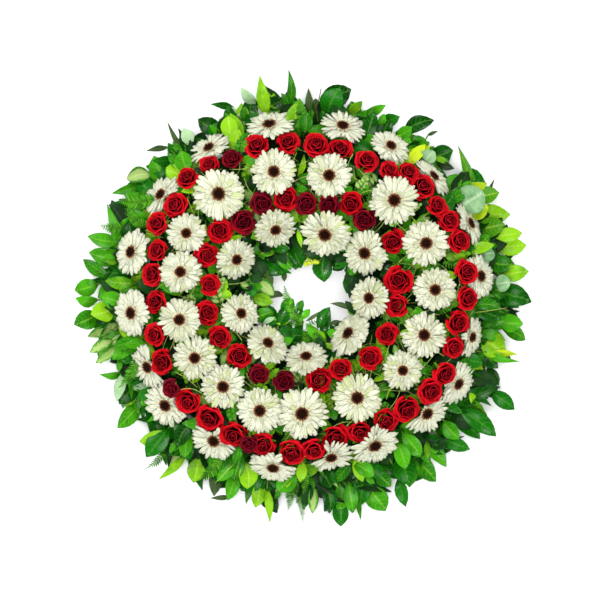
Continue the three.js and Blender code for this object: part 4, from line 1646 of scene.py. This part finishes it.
@dataclass
class Filler:
    """Leaves pushed into the foam among the flowers, scattered over a ring clear of the blooms.

    Radii, heights, lengths and widths are drawn between a lowest and a highest value. Each
    leaf is headed outwards, or inwards for the heart, and wanders from that by `wander`
    degrees. With `pairs`, each is a spray of leaves in pairs.
    """

    name: str
    row: Row
    count: int
    radius: tuple[float, float]
    height: tuple[float, float]
    length: tuple[float, float]
    width: tuple[float, float]
    tones: str
    seed: int
    pairs: int = 0
    wander: float = 55.0
    tries: int = 12
    aside: float = 8.0
    rise: tuple[float, float] = (-8, 10)
    half_breadth: float = 0.3
    clearance: float = 3.0

    def build(self, guard: Guard) -> None:
        """Scatters the leaves by the golden angle and makes the piece.

        A leaf that would lie on a bloom is drawn again, up to a number of tries.

        Args:
            guard: the blooms that no leaf may cover.
        """
        random = np.random.default_rng(self.seed)
        growth = Growth(self.name)
        sprig = Sprig(growth, 1000 * self.seed)
        heading = 180 if self.row is Row.INNER else 0
        for k in range(self.count):
            for _ in range(self.tries):
                bearing = k * GOLDEN_ANGLE + random.uniform(-self.aside, self.aside)
                foot = polar(bearing, random.uniform(*self.radius), random.uniform(*self.height))
                turn = bearing + heading + random.normal(0, self.wander)
                tip = foot + polar(turn, random.uniform(*self.length), random.uniform(*self.rise))
                width = random.uniform(*self.width)
                if self.clear(foot, tip, width, guard):
                    tone = Tone(self.tones[random.integers(len(self.tones))])
                    if self.pairs:
                        sprig.spray(foot, tip, width, tone, self.pairs)
                    else:
                        sprig.leaf(None, foot, tip, width, tone)
                    break
        growth.piece(FOLIAGE[self.row])

    def clear(self, foot: np.ndarray, tip: np.ndarray, width: float, guard: Guard) -> bool:
        """Tells whether a leaf lies clear of the blooms, at its middle line and near its edges.

        Args:
            foot: where the leaf starts.
            tip: where it ends.
            width: its widest part.
            guard: the blooms.

        Returns:
            Whether it does.
        """
        along = np.linspace(0.3, 1, 4)[:, None]
        edge = unit(np.cross(UP, tip - foot)) * width * self.half_breadth
        line = foot + (tip - foot) * along + UP * self.clearance
        return not guard.covered(np.concatenate([line - edge, line, line + edge]))


# The nodes that the leaves of the outer and of the inner ring stand for.
FOLIAGE = {row: tuple(f"foliage_{row.value}_{k + 1}" for k in range(3)) for row in COLLARS}

FILLERS = (
    # filler_low is mostly SHADED leaves: painted shade in the gaps under the blooms.
    Filler("filler_low", Row.OUTER, 260, (130, 290), (64, 74), (36, 60), (22, 34), SHADE, 11),
    Filler("filler_high", Row.OUTER, 340, (125, 304), (80, 98), (24, 44), (10, 20), FRESH, 15),
    Filler("filler_sprays", Row.OUTER, 110, (125, 300), (84, 100), (26, 44), (7, 10), LIGHT, 16, 3),
    Filler("filler_rim", Row.OUTER, 120, (290, 326), (34, 64), (40, 58), (20, 32), MIXED, 12),
    Filler(
        "filler_skirt", Row.OUTER, 130, (308, 340), (8, 30), (40, 60), (20, 32), DEEP, 13,
        wander=36,
    ),
    Filler(
        "filler_collar", Row.OUTER, 90, (326, 362), (22, 34), (20, 34), (8, 14), MIXED, 18,
        wander=45,
    ),
    # filler_heart is mostly SHADED leaves: painted shade round the heart.
    Filler("filler_heart", Row.INNER, 120, (104, 132), (34, 74), (22, 40), (14, 26), SHADE, 14),
    Filler("filler_edge", Row.INNER, 40, (104, 130), (50, 80), (16, 28), (10, 18), FRESH, 17),
)


@dataclass
class ThinStems:
    """Thin pale stems that lie across the leaves between the blooms.

    Sizes are drawn between a lowest and a highest value. From the crest outwards the stems
    lie lower, by the slope. Those that would cross a bloom are left out.
    """

    name: str = "thin_stems"
    tries: int = 700
    seed: int = 19
    radius: tuple[float, float] = (128, 332)
    height: tuple[float, float] = (82, 100)
    length: tuple[float, float] = (34, 62)
    rise: tuple[float, float] = (-6, 10)
    sway: tuple[float, float] = (-7, 7)
    arch: tuple[float, float] = (2, 7)
    crest: float = 300.0
    slope: float = 0.8
    foot_radius: float = 0.8
    tip_radius: float = 0.45
    rows: int = 6

    def build(self, guard: Guard) -> None:
        """Makes the piece.

        Each stem's path is a straight line with half a sine wave of bow, upwards and sideways.

        Args:
            guard: the blooms that no stem may cross.
        """
        random = np.random.default_rng(self.seed)
        t = np.linspace(0, 1, self.rows)[:, None]
        paths = []
        for k in range(self.tries):
            radius, height = random.uniform(*self.radius), random.uniform(*self.height)
            foot = polar(k * GOLDEN_ANGLE, radius, height)
            foot[2] -= max(0.0, np.hypot(*foot[:2]) - self.crest) * self.slope
            heading = random.uniform(0, 360)
            reach = polar(heading, random.uniform(*self.length), random.uniform(*self.rise))
            bow = polar(heading + 90, random.uniform(*self.sway), random.uniform(*self.arch))
            path = foot + reach * t + bow * np.sin(np.pi * t)
            if not guard.covered(path):
                paths.append(path)
        growth = Growth(self.name)
        thickness = np.linspace(self.foot_radius, self.tip_radius, self.rows)
        growth.add(tubes(np.array(paths), thickness, 4), STRAW)
        growth.piece(FOLIAGE[Row.OUTER])


# --------------------------------------------------------------------------------- the wreath


@dataclass
class Wreath:
    """The whole wreath: tray, foam, leaves, roses and gerberas, in building order.

    A sprig's stalk starts back, inwards and down from its blade by the steps of `sprig_root`.
    """

    lowest: float = 8.0
    lean_scatter: float = 3.0
    height_scatter: float = 2.0
    least_loose: float = 0.02
    crimson: float = 0.85
    scarlet: float = 0.2
    sprig_seed: int = 9000
    sprig_root: tuple[float, float, float] = (2, 62, 3)
    coin_rise: float = 4.0
    heart_seed: int = 9500
    twig_radius: float = 0.9
    nodes: dict[str, bpy.types.Object] = field(default_factory=lambda: frame["nodes"])
    gerberas: dict[str, Gerbera] = field(default_factory=dict)
    roses: dict[str, list[Rose]] = field(default_factory=dict)

    def stand(
        self, row: GerberaRow | RoseRow, plan: Sequence[float], seed: float,
    ) -> tuple[Stance, float]:
        """Works out where a flower of a row stands and how long its stem is, as the part does.

        Args:
            row: the flower's row.
            plan: its bearing, radius, width and perhaps its own lean and height.
            seed: of its scatter.

        Returns:
            The stance and the stem's length behind the bloom.
        """
        bearing, radius, _, *own = plan
        lean = (own[0] if own else row.lean) + self.lean_scatter * float(scatter(seed))
        climb = row.slope * max(0.0, row.crest - radius)
        height = own[1] if len(own) > 1 else row.height + climb
        height += self.height_scatter * float(scatter(seed + 0.5))
        sink = (height - self.lowest) / math.cos(math.radians(lean))
        return Stance.of(bearing, radius, height, lean), min(row.reach, sink)

    def arrange(self) -> None:
        """Works out every bloom's stance, size and stem from the planting plans."""
        for row_index, (row, plan) in enumerate(ROSE_ROWS.items()):
            for arc_index, arc in enumerate(plan.arcs):
                blooms = self.roses.setdefault(f"{row.value}_{arc_index + 1}", [])
                for k, bloom in enumerate(arc):
                    seed = ROSE_SEEDS.of(row_index, arc_index, k)
                    stance, stem = self.stand(plan, bloom, seed)
                    dark = self.crimson if bloom[0] in CRIMSON[row] else self.scarlet
                    blooms.append(Rose(stance, bloom[2], stem, seed, dark))
        bulk = Bulk([rose for arc in self.roses.values() for rose in arc])
        for row_index, (row, plan) in enumerate(GERBERA_ROWS.items()):
            for k, head in enumerate(plan.heads):
                seed = GERBERA_SEEDS.of(row_index, place=k)
                stance, stem = self.stand(plan, head, seed)
                loose = self.least_loose + plan.loose * abs(float(scatter(seed + 0.7))) ** 2
                self.gerberas[f"{row.value}_{k + 1}"] = Gerbera(
                    stance, head[2], stem, seed, bulk, loose, plan.shaded,
                )

    def dress_base(self) -> None:
        """Gives the tray and the foam blocks, which keep the part's own shapes, their finishes."""
        for name, node in self.nodes.items():
            finish = TRAY if name == "backing_tray" else SHADED_FOAM if name.startswith("foam") else None
            if finish:
                node.data.materials.clear()
                node.data.materials.append(material_of(finish))
                log.info("%s: dressed", name)

    def plant_gerberas(self) -> None:
        """Makes one piece for each gerbera."""
        for name, gerbera in self.gerberas.items():
            growth = Growth(f"daisy_{name}")
            gerbera.grow(growth)
            growth.piece([f"gerbera_{name}"])

    def plant_roses(self) -> None:
        """Makes one piece for each arc of roses."""
        for name, blooms in self.roses.items():
            growth = Growth(f"rosebed_{name}")
            for rose in blooms:
                rose.grow(growth)
            growth.piece([f"roses_{name}"])

    def plant_leaves(self) -> None:
        """Makes the collars, the sprigs, coins and fronds, the heart's leaves and the fillers."""
        roses = [rose for arc in self.roses.values() for rose in arc]
        guard = Guard.over([*self.gerberas.values(), *roses])
        for row, collar in COLLARS.items():
            for index in range(len(collar.arcs)):
                LeafRing(collar, row, index, guard).build()
        self.plant_sprigs()
        self.plant_heart()
        for filler in FILLERS:
            filler.build(guard)
        ThinStems().build(guard)

    def plant_sprigs(self) -> None:
        """Makes the piece of single sprigs, fronds and round leaves of the outer ring."""
        growth = Growth("sprigs_and_ferns")
        sprig = Sprig(growth, self.sprig_seed)
        back, inwards, down = self.sprig_root
        for fb, fr, tb, tr, width, letter, low, high in SPRIGS:
            root = polar(fb - back, fr - inwards, low - down)
            sprig.leaf(root, polar(fb, fr, low), polar(tb, tr, high), width, Tone(letter))
        for fb, fr, tb, tr, width, letter, low, high in FRONDS:
            sprig.leaf(None, polar(fb, fr, low), polar(tb, tr, high), width, Tone(letter))
        for bearing, radius, size, height in COINS:
            foot = polar(bearing, radius - size, height)
            tip = polar(bearing, radius + size, height + self.coin_rise)
            sprig.leaf(None, foot, tip, 2 * size, Tone.SILVER)
        growth.piece(FOLIAGE[Row.OUTER])

    def plant_heart(self) -> None:
        """Makes the piece of leaves, buds and twigs round the open heart."""
        growth = Growth("heart_leaves")
        sprig = Sprig(growth, self.heart_seed)
        for fx, fy, tx, ty, width, letter, low, high in HEART:
            foot, tip = np.array([fx, fy, low], float), np.array([tx, ty, high], float)
            sprig.leaf(None, foot, tip, width, Tone(letter))
        ball = np.linspace(-1, 1, 7)
        for x, y, height, radius in BUDS:
            profile = np.stack([radius * np.sqrt(np.maximum(1 - ball**2, 0.02)), radius * ball], -1)
            growth.add(turned(profile, 10) + np.array([x, y, height]), BUD)
        for path in TWIGS:
            growth.add(tubes(np.array(path, float)[None], self.twig_radius), TWIG)
        growth.piece(FOLIAGE[Row.INNER])


@dataclass(frozen=True)
class Lamp:
    """A soft lamp: where it hangs, how wide it is, and its power in watts."""

    name: str
    place: tuple[float, float, float]
    width: float
    power: float


@dataclass
class Studio:
    """A pale floor, soft lamps from above, and a camera that looks straight down.

    The side lamps hang in a ring from a first bearing on, each with its own power. The spot
    lamp lights the open heart; its width is that of its patch of light on the floor.
    """

    frame_width: float = 1.122
    distance: float = 9.0
    bloom_height: float = 0.06
    sensor: float = 36.0
    shift_x: float = -0.0056
    shift_y: float = -0.0037
    floor_reach: float = 12.0
    floor_gap: float = 0.0005
    key: Lamp = Lamp("key", (-0.2, 0.3, 3.4), 1.2, 40.0)
    side_powers: tuple[float, ...] = (29.0, 31.0, 36.0, 31.0, 30.0, 30.0)
    side_bearing: float = 12.0
    side_radius: float = 2.3
    side_height: float = 1.5
    side_width: float = 0.9
    spot: Lamp = Lamp("heart", (0.01, 0.01, 3.0), 0.18, 260.0)
    spot_softness: float = 0.8
    spot_size: float = 0.05
    surroundings: float = 0.26

    def lay_floor(self) -> None:
        """Lays the floor, one wide quad just under the tray."""
        mesh = bpy.data.meshes.new("floor")
        reach = self.floor_reach
        corners = [(-reach, -reach, 0), (reach, -reach, 0), (reach, reach, 0), (-reach, reach, 0)]
        mesh.from_pydata(corners, [], [(0, 1, 2, 3)])
        mesh.materials.append(material_of(FLOOR))
        floor = bpy.data.objects.new("floor", mesh)
        floor.location.z = cad_box[0][2] - self.floor_gap
        bpy.context.scene.collection.objects.link(floor)

    def hang(self, lamp: Lamp, kind: Light) -> bpy.types.Object:
        """Hangs one lamp, which shines straight down until it is turned.

        Args:
            lamp: its name, place and power.
            kind: the sort of lamp.

        Returns:
            The lamp's object.
        """
        light = bpy.data.lights.new(lamp.name, kind.value)
        light.energy = lamp.power
        thing = bpy.data.objects.new(lamp.name, light)
        thing.location = lamp.place
        bpy.context.scene.collection.objects.link(thing)
        return thing

    def hang_square(self, lamp: Lamp) -> None:
        """Hangs one square soft lamp that faces the wreath.

        Args:
            lamp: its name, place, width and power.
        """
        thing = self.hang(lamp, Light.SQUARE)
        thing.data.size = lamp.width
        direction = -np.array(lamp.place) / np.linalg.norm(lamp.place)
        turn = math.atan2(direction[1], direction[0]) - math.pi / 2
        thing.rotation_euler = (math.acos(-direction[2]), 0.0, turn)

    def hang_spot(self, lamp: Lamp) -> None:
        """Hangs one soft spot lamp that shines straight down on a round patch.

        Args:
            lamp: its name, place, the patch's width and its power.
        """
        thing = self.hang(lamp, Light.SPOT)
        thing.data.spot_size = 2 * math.atan(lamp.width / 2 / lamp.place[2])
        thing.data.spot_blend = self.spot_softness
        thing.data.shadow_soft_size = self.spot_size

    def light(self) -> None:
        """Hangs the lamps and sets the pale surroundings."""
        self.hang_square(self.key)
        for k, power in enumerate(self.side_powers):
            bearing = self.side_bearing + 360 * k / len(self.side_powers)
            x, y, _ = polar(bearing, self.side_radius, 0)
            place = (x, y, self.side_height)
            self.hang_square(Lamp(f"side_{k + 1}", place, self.side_width, power))
        self.hang_spot(self.spot)
        world = bpy.data.worlds.new("studio")
        world.use_nodes = True
        background = world.node_tree.nodes["Background"]
        background.inputs["Color"].default_value = (1.0, 1.0, 1.0, 1.0)
        background.inputs["Strength"].default_value = self.surroundings
        bpy.context.scene.world = world
        bpy.context.scene.view_settings.view_transform = "Standard"

    def aim(self) -> None:
        """Sets the camera above the wreath so that it spans the frame's width at the blooms."""
        camera = bpy.data.cameras.new("camera")
        camera.sensor_width = self.sensor
        camera.lens = self.sensor * (self.distance - self.bloom_height) / self.frame_width
        camera.clip_end = 100.0
        thing = bpy.data.objects.new("camera", camera)
        thing.location = (self.shift_x, self.shift_y, self.distance)
        bpy.context.scene.collection.objects.link(thing)
        bpy.context.scene.camera = thing


def main() -> None:
    """Builds the wreath and its studio in order."""
    logging.basicConfig(level=logging.INFO, format="%(message)s")
    studio = Studio()
    studio.aim()
    studio.lay_floor()
    studio.light()
    wreath = Wreath()
    wreath.arrange()
    wreath.dress_base()
    wreath.plant_leaves()
    wreath.plant_roses()
    wreath.plant_gerberas()
    total = sum(len(mesh.loops) - 2 * len(mesh.polygons) for mesh in bpy.data.meshes)
    log.info("in all %d triangles", total)
    bpy.context.view_layer.update()


if __name__ == "__main__":
    main()
